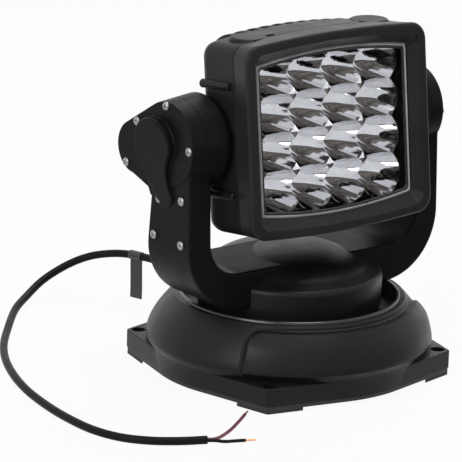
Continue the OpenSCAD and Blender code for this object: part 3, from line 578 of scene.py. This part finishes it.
def bowed(w, h, bow, r):
    """Rounded rectangle with a bowed top and bottom: half width, half height, bow and corner radius."""
    x = w - r
    top = h - bow * (x / w) ** 2
    slope = math.degrees(math.atan(2 * bow * x / (w * w)))
    half = arc((x, top - r), r, 0, 90 - slope, 10)
    for i in range(1, BOW_STEPS):
        u = x * (1 - 2 * i / BOW_STEPS)
        half.append(Vector((u, h - bow * (u / w) ** 2)))
    half += arc((-x, top - r), r, 90 + slope, 180, 10)
    return half + [-p for p in half]


def waisted(outline, centre, radius):
    """The outline with a circle cut out of its side, as an arc between where they cross."""
    inside = [(p - centre).length < radius for p in outline]
    start = next(i for i in range(len(outline)) if inside[i] and not inside[i - 1])
    turned = outline[start:] + outline[:start]
    kept = [p for p in turned if (p - centre).length >= radius]
    ends = [math.degrees(math.atan2((p - centre).y, (p - centre).x)) for p in (kept[-1], kept[0])]
    sweep = (ends[1] - ends[0] + 180) % 360 - 180
    return kept + arc(centre, radius, ends[0], ends[0] + sweep, 24)[1:-1]


def dense(outline, step):
    """The outline with points at most a step apart."""
    out = []
    for a, b in zip(outline, outline[1:] + outline[:1]):
        count = max(1, math.ceil((b - a).length / step))
        out += [a.lerp(b, i / count) for i in range(count)]
    return out


def inset(outline, amount):
    """An anticlockwise outline moved inwards, each corner along its mitre."""
    out = []
    for i, p in enumerate(outline):
        before = (p - outline[i - 1]).normalized()
        after = (outline[(i + 1) % len(outline)] - p).normalized()
        mitre = Vector((-before.y, before.x)) + Vector((-after.y, after.x))
        out.append(p + mitre * (2 * amount / mitre.length_squared))
    return out


def soft_edge(depth, edge, sign):
    """(depth, inset) pairs of a rounded edge, from the face at that depth to the wall."""
    radius, steps = edge
    turns = [math.radians(90 * i / steps) for i in range(steps + 1)]
    return [(depth + sign * radius * (1 - math.cos(a)), radius * (1 - math.sin(a))) for a in turns]


def slab(low, low_edge, high, high_edge):
    """(depth, inset) levels from a low face to a high one, with rounded edges."""
    return soft_edge(low, low_edge, 1) + soft_edge(high, high_edge, -1)[::-1]


def prism(outline, levels, place):
    """Solid over an outline, from (depth, inset) levels; place gives the position of a point at a depth."""
    return loft([[place(p, d) for p in inset(outline, k)] for d, k in levels])


def across_x(p, d):
    """An outline in Y and height over the tilt axis, at x = d."""
    return Vector((d, p.x, TILT_Z + p.y)) * MM


def across_y(p, d):
    return Vector((p.x, d, p.y)) * MM


def upright(p, d):
    return Vector((p.x, p.y, d)) * MM


def cut_away(part, planes):
    """The part on the inner side of planes, each (point, outward normal), closed where it is cut."""
    bm = mesh_of([part])
    for point, normal in planes:
        result = bmesh.ops.bisect_plane(
            bm, geom=bm.verts[:] + bm.edges[:] + bm.faces[:], plane_co=point, plane_no=normal, clear_outer=True
        )
        edges = [g for g in result["geom_cut"] if isinstance(g, bmesh.types.BMEdge)]
        bmesh.ops.holes_fill(bm, edges=edges)
    bm.verts.index_update()
    points = [v.co.copy() for v in bm.verts]
    faces = [tuple(v.index for v in f.verts) for f in bm.faces]
    bm.free()
    return points, faces


def carve(piece, parts):
    """Cuts closed parts out of a piece, before its shading is evened."""
    for points, faces in parts:
        mesh = bpy.data.meshes.new("cutter")
        mesh.from_pydata(points, [], faces)
        cutter = bpy.data.objects.new("cutter", mesh)
        bpy.context.scene.collection.objects.link(cutter)
        modifier = piece.modifiers.new("carve", "BOOLEAN")
        modifier.object = cutter
        modifier.operation = "DIFFERENCE"
        modifier.solver = "EXACT"
        piece.modifiers.move(1, 0)
        depsgraph = bpy.context.evaluated_depsgraph_get()
        result = bpy.data.meshes.new_from_object(piece.evaluated_get(depsgraph))
        piece.modifiers.remove(modifier)
        piece.data = result
        bpy.data.objects.remove(cutter)


# Base


def smoothstep(t):
    t = min(1, max(0, t))
    return t * t * (3 - 2 * t)


def panel_lift(angle, run, length):
    """How far the front panel lifts the bell at an angle from its front and a distance along its curve."""
    x = abs(math.radians(angle)) * BASE_R - math.radians(PANEL_HALF) * BASE_R
    y = run - length
    qx, qy = max(x + PANEL_CORNER, 0), max(y + PANEL_CORNER, 0)
    outside = math.hypot(qx, qy) + min(max(x, y) + PANEL_CORNER, 0) - PANEL_CORNER
    groove = PANEL_GROOVE * math.exp(-((outside - PANEL_BEVEL) / PANEL_GROOVE_W) ** 2)
    share = PANEL_FOOT_SHARE + (1 - PANEL_FOOT_SHARE) * smoothstep(run / length * PANEL_GROWTH)
    return PANEL_PROUD * smoothstep(0.5 - outside / PANEL_BEVEL) * share - groove


def bell():
    """The base's turned skin with its front panel, from the underside round to the well's floor."""
    skirt = [
        Vector((SKIRT_R - 8, HOUSING_Z)), Vector((SKIRT_R, HOUSING_Z)), Vector((SKIRT_R + 0.2, 12)),
        Vector((SKIRT_R + 0.6, EAR_TOP)), Vector((SKIRT_R + 1.4, EAR_TOP + 1.6)),
        Vector((BASE_R - 0.3, EAR_TOP + 3.2)),
    ]
    curve = bezier(
        Vector((BASE_R, SHOULDER_Z)), Vector((BASE_R, SHOULDER_Z + SHOULDER_PULL)),
        Vector((TOP_R + TOP_PULL[0], BASE_H - TOP_PULL[1])), Vector((TOP_R, BASE_H)), BELL_STEPS,
    )
    well = [
        Vector((TOP_R - 1.4, BASE_H + 0.1)), Vector((WELL_R + 2.6, BASE_H)), Vector((WELL_R, BASE_H)),
        Vector((WELL_R, WELL_Z)), Vector((WELL_IN, WELL_Z)),
    ]
    runs = [0]
    for p, q in zip(curve, curve[1:]):
        runs.append(runs[-1] + (q - p).length)
    length = runs[-1] - PANEL_HIGH - PANEL_LOW
    loops = []
    for profile, lifted in ((skirt, False), (curve, True), (well, False)):
        for k, p in enumerate(profile):
            loop = []
            for i in range(BELL_TURNS):
                a = 360 * i / BELL_TURNS
                from_front = (a + 90 + 180) % 360 - 180
                lift = panel_lift(from_front, runs[k] - PANEL_LOW, length) if lifted else 0
                r, z = p + PANEL_FACING * lift
                loop.append(Vector((r * math.cos(math.radians(a)), r * math.sin(math.radians(a)), z)) * MM)
            loops.append(loop)
    return loft(loops, capped=False)


def base_outline():
    """The skirt's circle with its four bolt ears."""
    w = math.degrees(math.acos((SKIRT_R - EAR_ROUND) / EAR_REACH))
    out = []
    for i in range(4):
        a = 45 + 90 * i
        tip = Vector((EAR_REACH * math.cos(math.radians(a)), EAR_REACH * math.sin(math.radians(a))))
        out += arc(tip, EAR_ROUND, a - w, a + w, 8)
        out += arc((0, 0), SKIRT_R, a + w, a + 90 - w, 12)[1:-1]
    return out


def bolt_hole(sx, sy):
    hole = lathe([(HOLE_R, 0), (HOLE_R, EAR_TOP + 2)], 40)
    return moved(hole, Matrix.Translation((sx * HOLE_SPACING / 2 * MM, sy * HOLE_SPACING / 2 * MM, 0)))


def gland_boss():
    boss = lathe([(GLAND_R - GLAND_CHAMFER, 0), (GLAND_R, GLAND_CHAMFER), (GLAND_R, GLAND_L)], 48)
    return moved(boss, Matrix.Translation((0, BASE_R * MM, GLAND_Z * MM)) @ FACING_FRONT)


ears = prism(base_outline(), slab(HOUSING_Z, EAR_FOOT_EDGE, EAR_TOP, EAR_TOP_EDGE), upright)
ear_piece = build("base_ears", "base", "black_moulding", [ears])
carve(ear_piece, [bolt_hole(sx, sy) for sx in (-1, 1) for sy in (-1, 1)])
build("base_bell", "base", "black_moulding", [bell(), gland_boss()], ["base_housing"])


# Yoke


def u_outline():
    """The yoke from the front, up to the tilt axis."""
    out = [Vector((-ARM_OUT, TILT_Z))]
    out += arc((OUTER_R - ARM_OUT, YOKE_BOTTOM + OUTER_R), OUTER_R, 180, 270, 24)
    out += arc((ARM_OUT - OUTER_R, YOKE_BOTTOM + OUTER_R), OUTER_R, 270, 360, 24)
    out += [Vector((ARM_OUT, TILT_Z)), Vector((ARM_IN, TILT_Z))]
    out += arc((ARM_IN - INNER_R, YOKE_FLOOR + INNER_R), INNER_R, 0, -90, 20)
    out += arc((INNER_R - ARM_IN, YOKE_FLOOR + INNER_R), INNER_R, 270, 180, 20)
    out += [Vector((-ARM_IN, TILT_Z))]
    return out


def hub_outline():
    return arc((0, 0), HUB_R, 0, 360, 64)[:-1]


def left_hub_outline():
    """The hub with the nose behind it, and a web below them to the arm's rear face."""
    web = [
        Vector((YOKE_REAR - 4, -WEB_DROP)), Vector((YOKE_REAR, -WEB_DROP)),
        Vector((YOKE_REAR + 3, 5 - WEB_DROP)),
    ]
    return joined(Vector((0, 0)), HUB_R, NOSE, NOSE_R, web)


def drafted(p, d):
    """As across_y, with faces that lean towards the yoke's top and a floor that rises to the rear."""
    y = d + (FRONT_DRAFT * (p.y - YOKE_FLOOR) if d < 0 else REAR_DRAFT * (REAR_Z - p.y))
    rise = 0
    if p.y > YOKE_FLOOR - 0.1 and abs(p.x) < ARM_IN + 0.1:
        rise = FLOOR_SLOPE * (d - YOKE_FRONT) * max(0, 1 - (p.y - YOKE_FLOOR) / INNER_R)
    return across_y(Vector((p.x, p.y + rise)), y)


def widened(levels):
    """Levels of a hub, which is wider towards the head."""
    return [(d, k - HUB_DRAFT * (ARM_OUT - min(ARM_OUT, abs(d)))) for d, k in levels]


def sloped(p, d):
    """As across_x, with what stands out of the arm's face lower towards the tail."""
    rise = -ARM_OUT - d
    return across_x(p, d if rise < 0 else -ARM_OUT - rise * (1 + BUMP_SLOPE * p.y))


def seam(x, side):
    return (Vector((x * MM, 0, 0)), Vector((side, 0, 0)))


whole_u = prism(u_outline(), slab(YOKE_FRONT, YOKE_EDGE, YOKE_REAR, YOKE_EDGE), drafted)
yoke_parts = [
    cut_away(whole_u, [seam(SEAM_X - SEAM_GAP, 1), seam(SEAM_GAP - SEAM_X, -1)]),
    prism(left_hub_outline(), widened(slab(SEAM_GAP - SEAM_X, SEAM_EDGE, -NOSE_IN, NOSE_EDGE)), across_x),
    prism(hub_outline(), slab(-NOSE_IN - 1, HUB_ROOT_EDGE, -HUB_IN, HUB_EDGE), across_x),
    prism(hub_outline(), widened(slab(HUB_IN, HUB_EDGE, SEAM_X - SEAM_GAP, SEAM_EDGE)), across_x),
]
# Painted shade: the yoke takes the darker copy of the black moulding.
build("yoke_body", "yoke", "black_moulding", yoke_parts, ["yoke_frame"], SHADED_MOULDING)

turned_drum = [
    (DRUM_IN, DRUM_BOTTOM), (DRUM_R - DRUM_CHAMFER, DRUM_BOTTOM), (DRUM_R, DRUM_BOTTOM + DRUM_CHAMFER),
    (DRUM_R, DRUM_TOP - 5),
]
turned_drum += arc((DRUM_R - DRUM_ROUND, DRUM_TOP - DRUM_ROUND), DRUM_ROUND, 0, 75, 8)
turned_drum += bezier(
    Vector((DRUM_R - 7, DRUM_TOP + 1)), Vector((DRUM_R - 13, DRUM_TOP + 8.4)),
    Vector((DRUM_R - 28, DOME_TOP)), Vector((0.4, DOME_TOP)), 16,
)[1:]
build("yoke_drum", "yoke", "black_moulding", [lathe(turned_drum)])

left_parts = [
    cut_away(whole_u, [seam(-SEAM_X - SEAM_GAP, 1)]),
    prism(left_hub_outline(), widened(slab(-HUB_FACE, COVER_EDGE, -SEAM_X - SEAM_GAP, SEAM_EDGE)), across_x),
]
# The cover takes the darker copy with painted shade, as the yoke does.
build("left_cover_shell", "yoke", "black_moulding", left_parts, ["left_arm_cover"], SHADED_MOULDING)

bump_outline = waisted(dense(joined(*BUMP), BUMP_STEP), *WAIST)
bump_foot = [(-HUB_FACE - 0.9, 0), (-HUB_FACE - 0.4, -BUMP_FLARE), (-ARM_OUT + 1, -BUMP_FLARE)]
bump = prism(bump_outline, soft_edge(-ARM_OUT - BUMP_H, BUMP_EDGE, 1) + bump_foot, sloped)
# The bump takes the darker copy with painted shade.
build("gear_bump", "yoke", "black_moulding", [bump], painted_light_material=SHADED_MOULDING)

right_parts = [
    cut_away(whole_u, [seam(SEAM_X + SEAM_GAP, -1)]),
    prism(hub_outline(), widened(slab(SEAM_X + SEAM_GAP, SEAM_EDGE, HUB_FACE, COVER_EDGE)), across_x),
]
# The cover takes the darker copy with painted shade.
build("right_cover_shell", "yoke", "black_moulding", right_parts, ["right_arm_cover"], SHADED_MOULDING)


# Screws


def screw_head():
    """Pan head on z = 0."""
    profile = [
        (SCREW_R, 0), (SCREW_R, 0.7), (SCREW_R * 0.97, 1.05), (SCREW_R * 0.86, 1.4), (SCREW_R * 0.65, 1.65),
        (SCREW_R * 0.35, SCREW_H - 0.03), (0.05, SCREW_H),
    ]
    return lathe(profile, 32)


def cross_recess():
    """The two bars that cut a cross into a screw's head."""
    levels = [(RECESS_FLOOR, RECESS_TAPER), (RECESS_TOP, 0)]
    bar = prism(rectangle(RECESS_REACH, RECESS_HALF), levels, upright)
    return [moved(bar, Matrix.Rotation(math.radians(turn), 4, "Z")) for turn in (0, 90)]


def screws(name, body, places, node):
    """Screws at matrices, with their heads along +Z of each."""
    piece = build(name, body, "steel", [screw_head()])
    carve(piece, cross_recess())
    bm = bmesh.new()
    for place in places:
        copy = piece.data.copy()
        copy.transform(place)
        bm.from_mesh(copy)
        bpy.data.meshes.remove(copy)
    mesh = bpy.data.meshes.new(name)
    bm.to_mesh(mesh)
    bm.free()
    shade(mesh, MATERIALS["steel"])
    piece.data = mesh
    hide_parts(node)


def side_screw(x, sign, at, turn):
    facing = Matrix.Rotation(math.radians(90 * sign), 4, "Y") @ Matrix.Rotation(math.radians(turn), 4, "Z")
    return Matrix.Translation(across_x(Vector(at), x)) @ facing


def seat(at):
    """How far out the surface under a cover screw is: the hub's cover stands proud of the arm."""
    return HUB_FACE if at[1] > -HUB_R else ARM_OUT


left_places = [side_screw(-seat(p), -1, p, LEFT_TURN * i) for i, p in enumerate(LEFT_SCREWS)]
right_places = [side_screw(seat(p), 1, p, RIGHT_TURN * i) for i, p in enumerate(RIGHT_SCREWS)]
screws("left_screws", "yoke", left_places, "left_cover_screws")
screws("right_screws", "yoke", right_places, "right_cover_screws")


# Head

HEAD_FRAME = Matrix.Translation((0, 0, TILT_Z * MM)) @ Matrix.Rotation(math.radians(-REST_TILT), 4, "X")


def head_loop(w, h, bow, r, y):
    return [across_y(p, -y) for p in bowed(w, h, bow, r)]


def head_build(name, slot, parts, replaces=(), painted_light_material=None):
    return build(name, "head", slot, [moved(p, HEAD_FRAME) for p in parts], replaces, painted_light_material)


side = HEAD_W / 2
half = HEAD_H / 2
high = half + REAR_RISE
rear_crown = CROWN + REAR_RISE
outer_rings = [
    (8, 5, -BACK_Y), (4.6, 3, -BACK_Y + 0.2), (2.6, 2, -BACK_Y + 1), (1.1, 1, -BACK_Y + 2.6), (0.3, 0, 1.5),
    (0, 0, 4), (0, 0, SEAM_Y - 0.5), (0.5, 0, SEAM_Y),
]
inner_rings = [(HEAD_WALL, SEAM_Y), (CAVITY_INSET, SEAM_Y - 1), (CAVITY_INSET, CAVITY_FLOOR)]
shell = loft(
    [head_loop(side - k, high - k, rear_crown, CORNER_R - c, y) for k, c, y in outer_rings]
    + [head_loop(side - k, half - k, CROWN, CORNER_R - k, y) for k, y in inner_rings]
)
head_shell = head_build("head_shell", "black_casting", [shell], ["head_housing"])


def top_boss(sx):
    """Round boss on the head's top, cut off at the seam."""
    profile = [
        (PAD_R, half - CROWN - 1), (PAD_R, PAD_TOP - PAD_ROUND - 0.4),
        (PAD_R - 0.3, PAD_TOP - PAD_ROUND + 0.3), (PAD_R - PAD_ROUND + 0.3, PAD_TOP - 0.3),
        (PAD_R - PAD_ROUND - 0.4, PAD_TOP), (0.05, PAD_TOP),
    ]
    lean = Matrix.Translation((0, 0, PAD_TOP * MM)) @ Matrix.Rotation(math.radians(PAD_LEAN), 4, "X")
    lean = lean @ Matrix.Translation((0, 0, -PAD_TOP * MM))
    whole = moved(lathe(profile, 64), Matrix.Translation((sx * PAD_AT[0] * MM, -PAD_AT[1] * MM, 0)) @ lean)
    return cut_away(whole, [(Vector((0, 0.1 - SEAM_Y, 0)) * MM, Vector((0, -1, 0)))])


def screw_well(sx):
    """Cutter for the screw's hole in a boss."""
    well = lathe([(PAD_HOLE_R, half - CROWN), (PAD_HOLE_R, PAD_TOP + 4)], 32)
    well = moved(well, Matrix.Translation((sx * PAD_SCREW[0] * MM, -PAD_SCREW[1] * MM, 0)))
    return moved(well, HEAD_FRAME)


boss_piece = head_build("head_bosses", "black_casting", [top_boss(sx) for sx in (-1, 1)])
for piece in (head_shell, boss_piece):
    carve(piece, [screw_well(sx) for sx in (-1, 1)])


def side_rib(sx, sz):
    """Round bar along the head's side with soft ends, half sunk into it."""
    profile = [(RIB_R - RIB_CHAMFER, 0), (RIB_R, RIB_CHAMFER)]
    profile += [(RIB_R, RIB_L - RIB_CHAMFER), (RIB_R - RIB_CHAMFER, RIB_L)]
    bar = moved(lathe(profile, 32), FACING_FRONT)
    return moved(bar, Matrix.Translation((sx * side * MM, (BACK_Y - 1) * MM, sz * RIB_Z * MM)))


def fin(i):
    x = (i - (FIN_COUNT - 1) / 2) * FIN_PITCH
    top = high - rear_crown * ((abs(x) + FIN_T / 2) / side) ** 2 - FIN_DROP
    turns = [math.radians(9 * n) for n in range(11)]
    upper = [Vector((BACK_Y + FIN_DEPTH * math.cos(a), top + FIN_ROUND * (math.sin(a) - 1))) for a in turns]
    upper.append(Vector((FIN_FOOT, top)))
    outline = [Vector((q.x, -q.y)) for q in upper[::-1]] + upper
    levels = slab(x - FIN_T / 2, FIN_EDGE, x + FIN_T / 2, FIN_EDGE)
    return prism(outline, levels, lambda p, d: Vector((d, p.x, p.y)) * MM)


ribs = [side_rib(sx, sz) for sx in (-1, 1) for sz in (-1, 1)]
head_build("head_ribs", "black_casting", ribs + [fin(i) for i in range(FIN_COUNT)])


def mixed(a, b, t):
    return tuple(x + (y - x) * t for x, y in zip(a, b))


def rim_loops():
    """Cross sections of the bezel, from the seam over its face and down into the lens opening."""
    face_w, face_h = side + RIM_FLARE, half + RIM_FLARE / 2
    sections = [
        (side - 0.6, high - 0.6, rear_crown, CORNER_R, SEAM_Y + 0.1),
        (side, high, rear_crown, CORNER_R, SEAM_Y + 0.7),
        (face_w - 0.4, face_h - 0.2, CROWN, RIM_CORNER_R, RIM_Y - 4.5),
    ]
    for d, k in soft_edge(RIM_Y, RIM_EDGE, -1)[::-1]:
        sections.append((face_w - k, face_h - k, CROWN, RIM_CORNER_R - k, d))
    inner = (face_w - RIM_FACE, face_h - RIM_FACE + 1, CROWN, RIM_CORNER_R - 4, RIM_Y)
    foot = (OPENING_W / 2, OPENING_H / 2, OPENING_CROWN, OPENING_R, LIP_Y + 1.3)
    before, after = (inner[0] + 0.5, inner[1] + 0.5, *inner[2:]), mixed(inner, foot, 0.09)
    for i in range(7):
        t = i / 6
        sections.append(mixed(mixed(before, inner, t), mixed(inner, after, t), t))
    sections += [mixed(inner, foot, 0.9), foot, (*foot[:4], LIP_Y - LENS_T)]
    return [head_loop(*section) for section in sections]


# Painted light: the bezel takes the lighter copy of the black moulding.
head_build("bezel_rim", "black_moulding", [hoop(rim_loops())], ["bezel"], LIT_MOULDING)


def lens_loop(k, y, corner=OPENING_R):
    """Loop at a distance inside the lens opening."""
    return head_loop(OPENING_W / 2 - k, OPENING_H / 2 - k, OPENING_CROWN, corner, y)


pane_profile = [(LENS_CHAMFER, -LENS_T), (0, LENS_CHAMFER - LENS_T), (0, -LENS_CHAMFER), (LENS_CHAMFER, 0)]
pane = loft([lens_loop(k - LENS_HIDDEN, LIP_Y + y, OPENING_R + LENS_HIDDEN) for k, y in pane_profile])
head_build("lens_pane", "lens", [pane], ["lens"])

rim_profile = [
    (0, -0.3), (0, 0.1), (LENS_RIM_W - 0.3, 1.3), (LENS_RIM_W, 1.4), (LENS_RIM_W + 0.3, 1.3),
    (LENS_RIM_W + 0.5, -0.3),
]
lens_rim = hoop([lens_loop(k, LIP_Y + y) for k, y in rim_profile])
# The edge's pale grey is a painted highlight.
head_build("lens_edge", "lens", [lens_rim], painted_light_material=EDGE_HIGHLIGHT)

bead = hoop([lens_loop(*p) for p in arc((LENS_RIM_W + BEAD_IN, LIP_Y), BEAD_R, 180, 0, 9)])
head_build("lens_bead", "lip", [bead])


# Reflector and LEDs

CLIP_X = math.degrees(math.acos(CUP_PITCH_X / 2 / CUP_R))
CLIP_Z = math.degrees(math.asin(CUP_PITCH_Z / 2 / CUP_R))
QUARTER = sorted({5.0 * i for i in range(18)} | {CLIP_X, CLIP_Z})
CUP_ANGLES = sorted({round(t, 4) for a in QUARTER + [90] for t in (a, 180 - a, 180 + a, (360 - a) % 360)})


def cup_depth(r):
    return CUP_DEPTH * (r * r - LED_HOLE_R ** 2) / (CUP_R ** 2 - LED_HOLE_R ** 2)


def cup_point(i, k, r, angle, forward):
    """A point in cup i, k at a radius, an angle and a distance in front of its floor."""
    x = (i - (CUPS - 1) / 2) * CUP_PITCH_X + r * math.cos(math.radians(angle))
    z = (k - (CUPS - 1) / 2) * CUP_PITCH_Z + CUP_RISE + r * math.sin(math.radians(angle))
    return Vector((x, -CUP_BACK - forward, z)) * MM


def cup_limit(i, k, angle):
    """Radius at which a cup ends: its mouth, or where it meets the next cup."""
    c, s = math.cos(math.radians(angle)), math.sin(math.radians(angle))
    limit = CUP_R
    if (c > 1e-6 and i < CUPS - 1) or (c < -1e-6 and i > 0):
        limit = min(limit, CUP_PITCH_X / 2 / abs(c))
    if (s > 1e-6 and k < CUPS - 1) or (s < -1e-6 and k > 0):
        limit = min(limit, CUP_PITCH_Z / 2 / abs(s))
    return limit


def cup(i, k):
    """Skin of one parabolic cup, which ends where it meets its neighbours."""
    loops = []
    for ring in range(CUP_RINGS + 1):
        loop = []
        for angle in CUP_ANGLES:
            r = LED_HOLE_R + (cup_limit(i, k, angle) - LED_HOLE_R) * ring / CUP_RINGS
            loop.append(cup_point(i, k, r, angle, cup_depth(r)))
        loops.append(loop)
    return loft(loops, capped=False)


def cup_walls(i, k):
    """Lip and outer wall along the mouth where a cup has no neighbour."""
    points, faces = [], []
    for a, b in zip(CUP_ANGLES, CUP_ANGLES[1:] + [CUP_ANGLES[0] + 360]):
        middle = math.radians((a + b) / 2)
        free = (
            (i == 0 and math.cos(middle) < 0) or (i == CUPS - 1 and math.cos(middle) > 0)
            or (k == 0 and math.sin(middle) < 0) or (k == CUPS - 1 and math.sin(middle) > 0)
        )
        if not free or min(cup_limit(i, k, a), cup_limit(i, k, b)) < CUP_R - 1e-3:
            continue
        rows = [(CUP_R, CUP_DEPTH), (CUP_R + CUP_LIP, CUP_DEPTH), (CUP_R + CUP_LIP, CUP_DEPTH - CUP_WALL)]
        first = len(points)
        for r, forward in rows:
            points += [cup_point(i, k, r, a, forward), cup_point(i, k, r, b, forward)]
        faces += [(first, first + 1, first + 3, first + 2), (first + 2, first + 3, first + 5, first + 4)]
    return points, faces


def diamond(i, k):
    """Small pointed island between four cups, right of and above cup i, k."""
    arcs = [a for a in QUARTER if CLIP_X - 1e-6 <= a <= CLIP_Z + 1e-6]
    ring = (
        [cup_point(i, k, CUP_R, a, CUP_DEPTH) for a in arcs]
        + [cup_point(i, k + 1, CUP_R, -a, CUP_DEPTH) for a in arcs[::-1]]
        + [cup_point(i + 1, k + 1, CUP_R, 180 + a, CUP_DEPTH) for a in arcs]
        + [cup_point(i + 1, k, CUP_R, 180 - a, CUP_DEPTH) for a in arcs[::-1]]
    )
    tip = sum(ring, Vector()) / len(ring) + Vector((0, -DIAMOND_RISE * MM, 0))
    return ring + [tip], [(n, (n + 1) % len(ring), len(ring)) for n in range(len(ring))]


def led(i, k):
    """Chip on a small square base, at the bottom of a cup."""
    base = prism(rectangle(LED_BASE, LED_BASE), [(-LED_SINK, 0), (LED_BASE_H, 0)], upright)
    dome = lathe([(LED_R, LED_BASE_H - 0.2)] + arc((0, LED_BASE_H), LED_R, 0, 75, 5), 24)
    place = Matrix.Translation(cup_point(i, k, 0, 0, 0)) @ FACING_FRONT
    return [moved(base, place), moved(dome, place)]


cups = [part(i, k) for i in range(CUPS) for k in range(CUPS) for part in (cup, cup_walls)]
cups += [diamond(i, k) for i in range(CUPS - 1) for k in range(CUPS - 1)]
head_build("reflector_cups", "reflector", [part for part in cups if part[1]], ["reflector"])

chips = [part for i in range(CUPS) for k in range(CUPS) for part in led(i, k)]
head_build("led_chips", "led", chips, ["leds"])


# Ends of the wires and the tag


def wire_tip(name, route):
    """Bare strands at the end of a wire, six round one."""
    end, before = Vector(route[-1]), Vector(route[-2])
    strands = []
    for s, off in enumerate(arc((0, 0), STRAND_RING_R, 0, 300, 5) + [Vector((0, 0))]):
        length = TIP_L - STRAND_STEP * (s % 3)
        strand = lathe([(0.12, -0.3), (STRAND_R, -0.2), (STRAND_R, length - 0.15), (0.08, length)], 10)
        strands.append(moved(strand, Matrix.Translation((off.x * MM, off.y * MM, 0))))
    facing = (end - before).normalized().to_track_quat("Z", "Y").to_matrix().to_4x4()
    at = Matrix.Translation(end * MM)
    return build(name, "base", "copper", [moved(p, at @ facing) for p in strands])


def tag_flag():
    """Thin sheet that hangs from the cable with a slight curl."""
    loops = []
    for i in range(TAG_STEPS + 1):
        t = i / TAG_STEPS
        curl = TAG_CURL * math.sin(t * TAG_CURL_TURN) * t
        z = TAG_SINK - CABLE_D / 2 - (TAG_H + TAG_SINK) * t
        loops.append([Vector((curl + p.x, p.y, z)) * MM for p in rectangle(TAG_T / 2, TAG_W / 2)])
    return loft(loops)


def tag_sleeve():
    inner, outer, end = CABLE_D / 2, CABLE_D / 2 + TAG_T, TAG_W / 2
    sleeve = lathe([(inner, -end), (outer, -end), (outer, end), (inner, end)], 24, ring=True)
    return moved(sleeve, FACING_FRONT)


red_tip = wire_tip("red_strands", RED_ROUTE)
black_tip = wire_tip("black_strands", BLACK_ROUTE)
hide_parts("wire_tips")

tag_frame = Matrix.Translation(Vector(TAG_AT) * MM) @ Matrix.Rotation(math.radians(TAG_TURN), 4, "Z")
tag_parts = [moved(part, tag_frame) for part in (tag_flag(), tag_sleeve())]
tag = build("blank_tag", "base", "tag", tag_parts, ["cable_tag"])


# Studio


def seen_rays(tree):
    """Output that is 1 for rays that show a thing: straight, reflected or through the lens."""
    path = tree.nodes.new("ShaderNodeLightPath")
    total = path.outputs[SEEN_RAYS[0]]
    for name in SEEN_RAYS[1:]:
        node = tree.nodes.new("ShaderNodeMath")
        node.operation = "MAXIMUM"
        tree.links.new(total, node.inputs[0])
        tree.links.new(path.outputs[name], node.inputs[1])
        total = node.outputs[0]
    return total


def white_world(level):
    """World that shows as white and gives less light than that."""
    world = bpy.data.worlds.new("studio")
    bpy.context.scene.world = world
    world.use_nodes = True
    tree = world.node_tree
    back = tree.nodes["Background"]
    fill(back, Color=(1, 1, 1, 1))
    strength = tree.nodes.new("ShaderNodeMapRange")
    fill(strength, To_Min=level, To_Max=1.0)
    tree.links.new(seen_rays(tree), strength.inputs["Value"])
    tree.links.new(strength.outputs["Result"], back.inputs["Strength"])


def stage_plane(name, x, front, rear, z, material):
    mesh = bpy.data.meshes.new(name)
    mesh.from_pydata([(-x, front, z), (x, front, z), (x, rear, z), (-x, rear, z)], [], [(0, 1, 2, 3)])
    mesh.materials.append(material)
    plane = bpy.data.objects.new(name, mesh)
    bpy.context.scene.collection.objects.link(plane)
    return plane


def pale_floor():
    """Floor that the camera sees as white, apart from the object's shadow."""
    n = Nodes("floor")
    n.set(Roughness=0.9, Specular_IOR_Level=0.1)
    n.feed(n.ramp(n.noise(2, 2), (0.84, 0.84, 0.84), (0.88, 0.88, 0.88)), "Base Color")
    glow = n.add("ShaderNodeEmission")
    mix = n.add("ShaderNodeMixShader")
    share = n.add("ShaderNodeMath")
    share.operation = "MULTIPLY"
    share.inputs[1].default_value = FLOOR_GLOW
    n.link(seen_rays(n.tree), share.inputs[0])
    n.link(share.outputs[0], mix.inputs["Fac"])
    n.link(n.shader.outputs["BSDF"], mix.inputs[1])
    n.link(glow.outputs["Emission"], mix.inputs[2])
    n.link(mix.outputs["Shader"], n.tree.nodes["Material Output"].inputs["Surface"])
    floor = stage_plane("floor", FLOOR_HALF, -FLOOR_HALF, FLOOR_HALF, 0, n.material)


def dark_table():
    """Dark table in front of the lamp, which only reflections show."""
    n = Nodes("dark_table")
    n.set(Roughness=0.9, Specular_IOR_Level=0.1)
    grain = n.noise(5, 4, (0.35, 1, 1))
    n.feed(n.ramp(grain, (0.08, 0.07, 0.062), (0.4, 0.365, 0.33), 0.36, 0.64), "Base Color")
    table = stage_plane("dark_table", TABLE_HALF, TABLE_FRONT, TABLE_REAR, TABLE_Z, n.material)
    table.visible_camera = table.visible_shadow = table.visible_diffuse = False


def soft_light(name, at, aim, size, power):
    data = bpy.data.lights.new(name, "AREA")
    data.shape = "RECTANGLE"
    data.size, data.size_y = size
    data.energy = power
    light = bpy.data.objects.new(name, data)
    bpy.context.scene.collection.objects.link(light)
    light.location = at
    light.rotation_euler = (Vector(aim) - Vector(at)).to_track_quat("-Z", "Y").to_euler()


white_world(WORLD_LEVEL)
pale_floor()
dark_table()
soft_light("key", (0.9, 0.6, 1.8), (0, 0, 0.1), (1.2, 1.2), 17)
soft_light("fill", (-1.7, -0.5, 1.0), (0, 0, 0.12), (0.9, 1.2), 13.5)
soft_light("top", (0.1, -0.55, 2.5), (0, 0, 0.12), (1.0, 0.8), 15)

bpy.context.scene.view_settings.view_transform = "Standard"
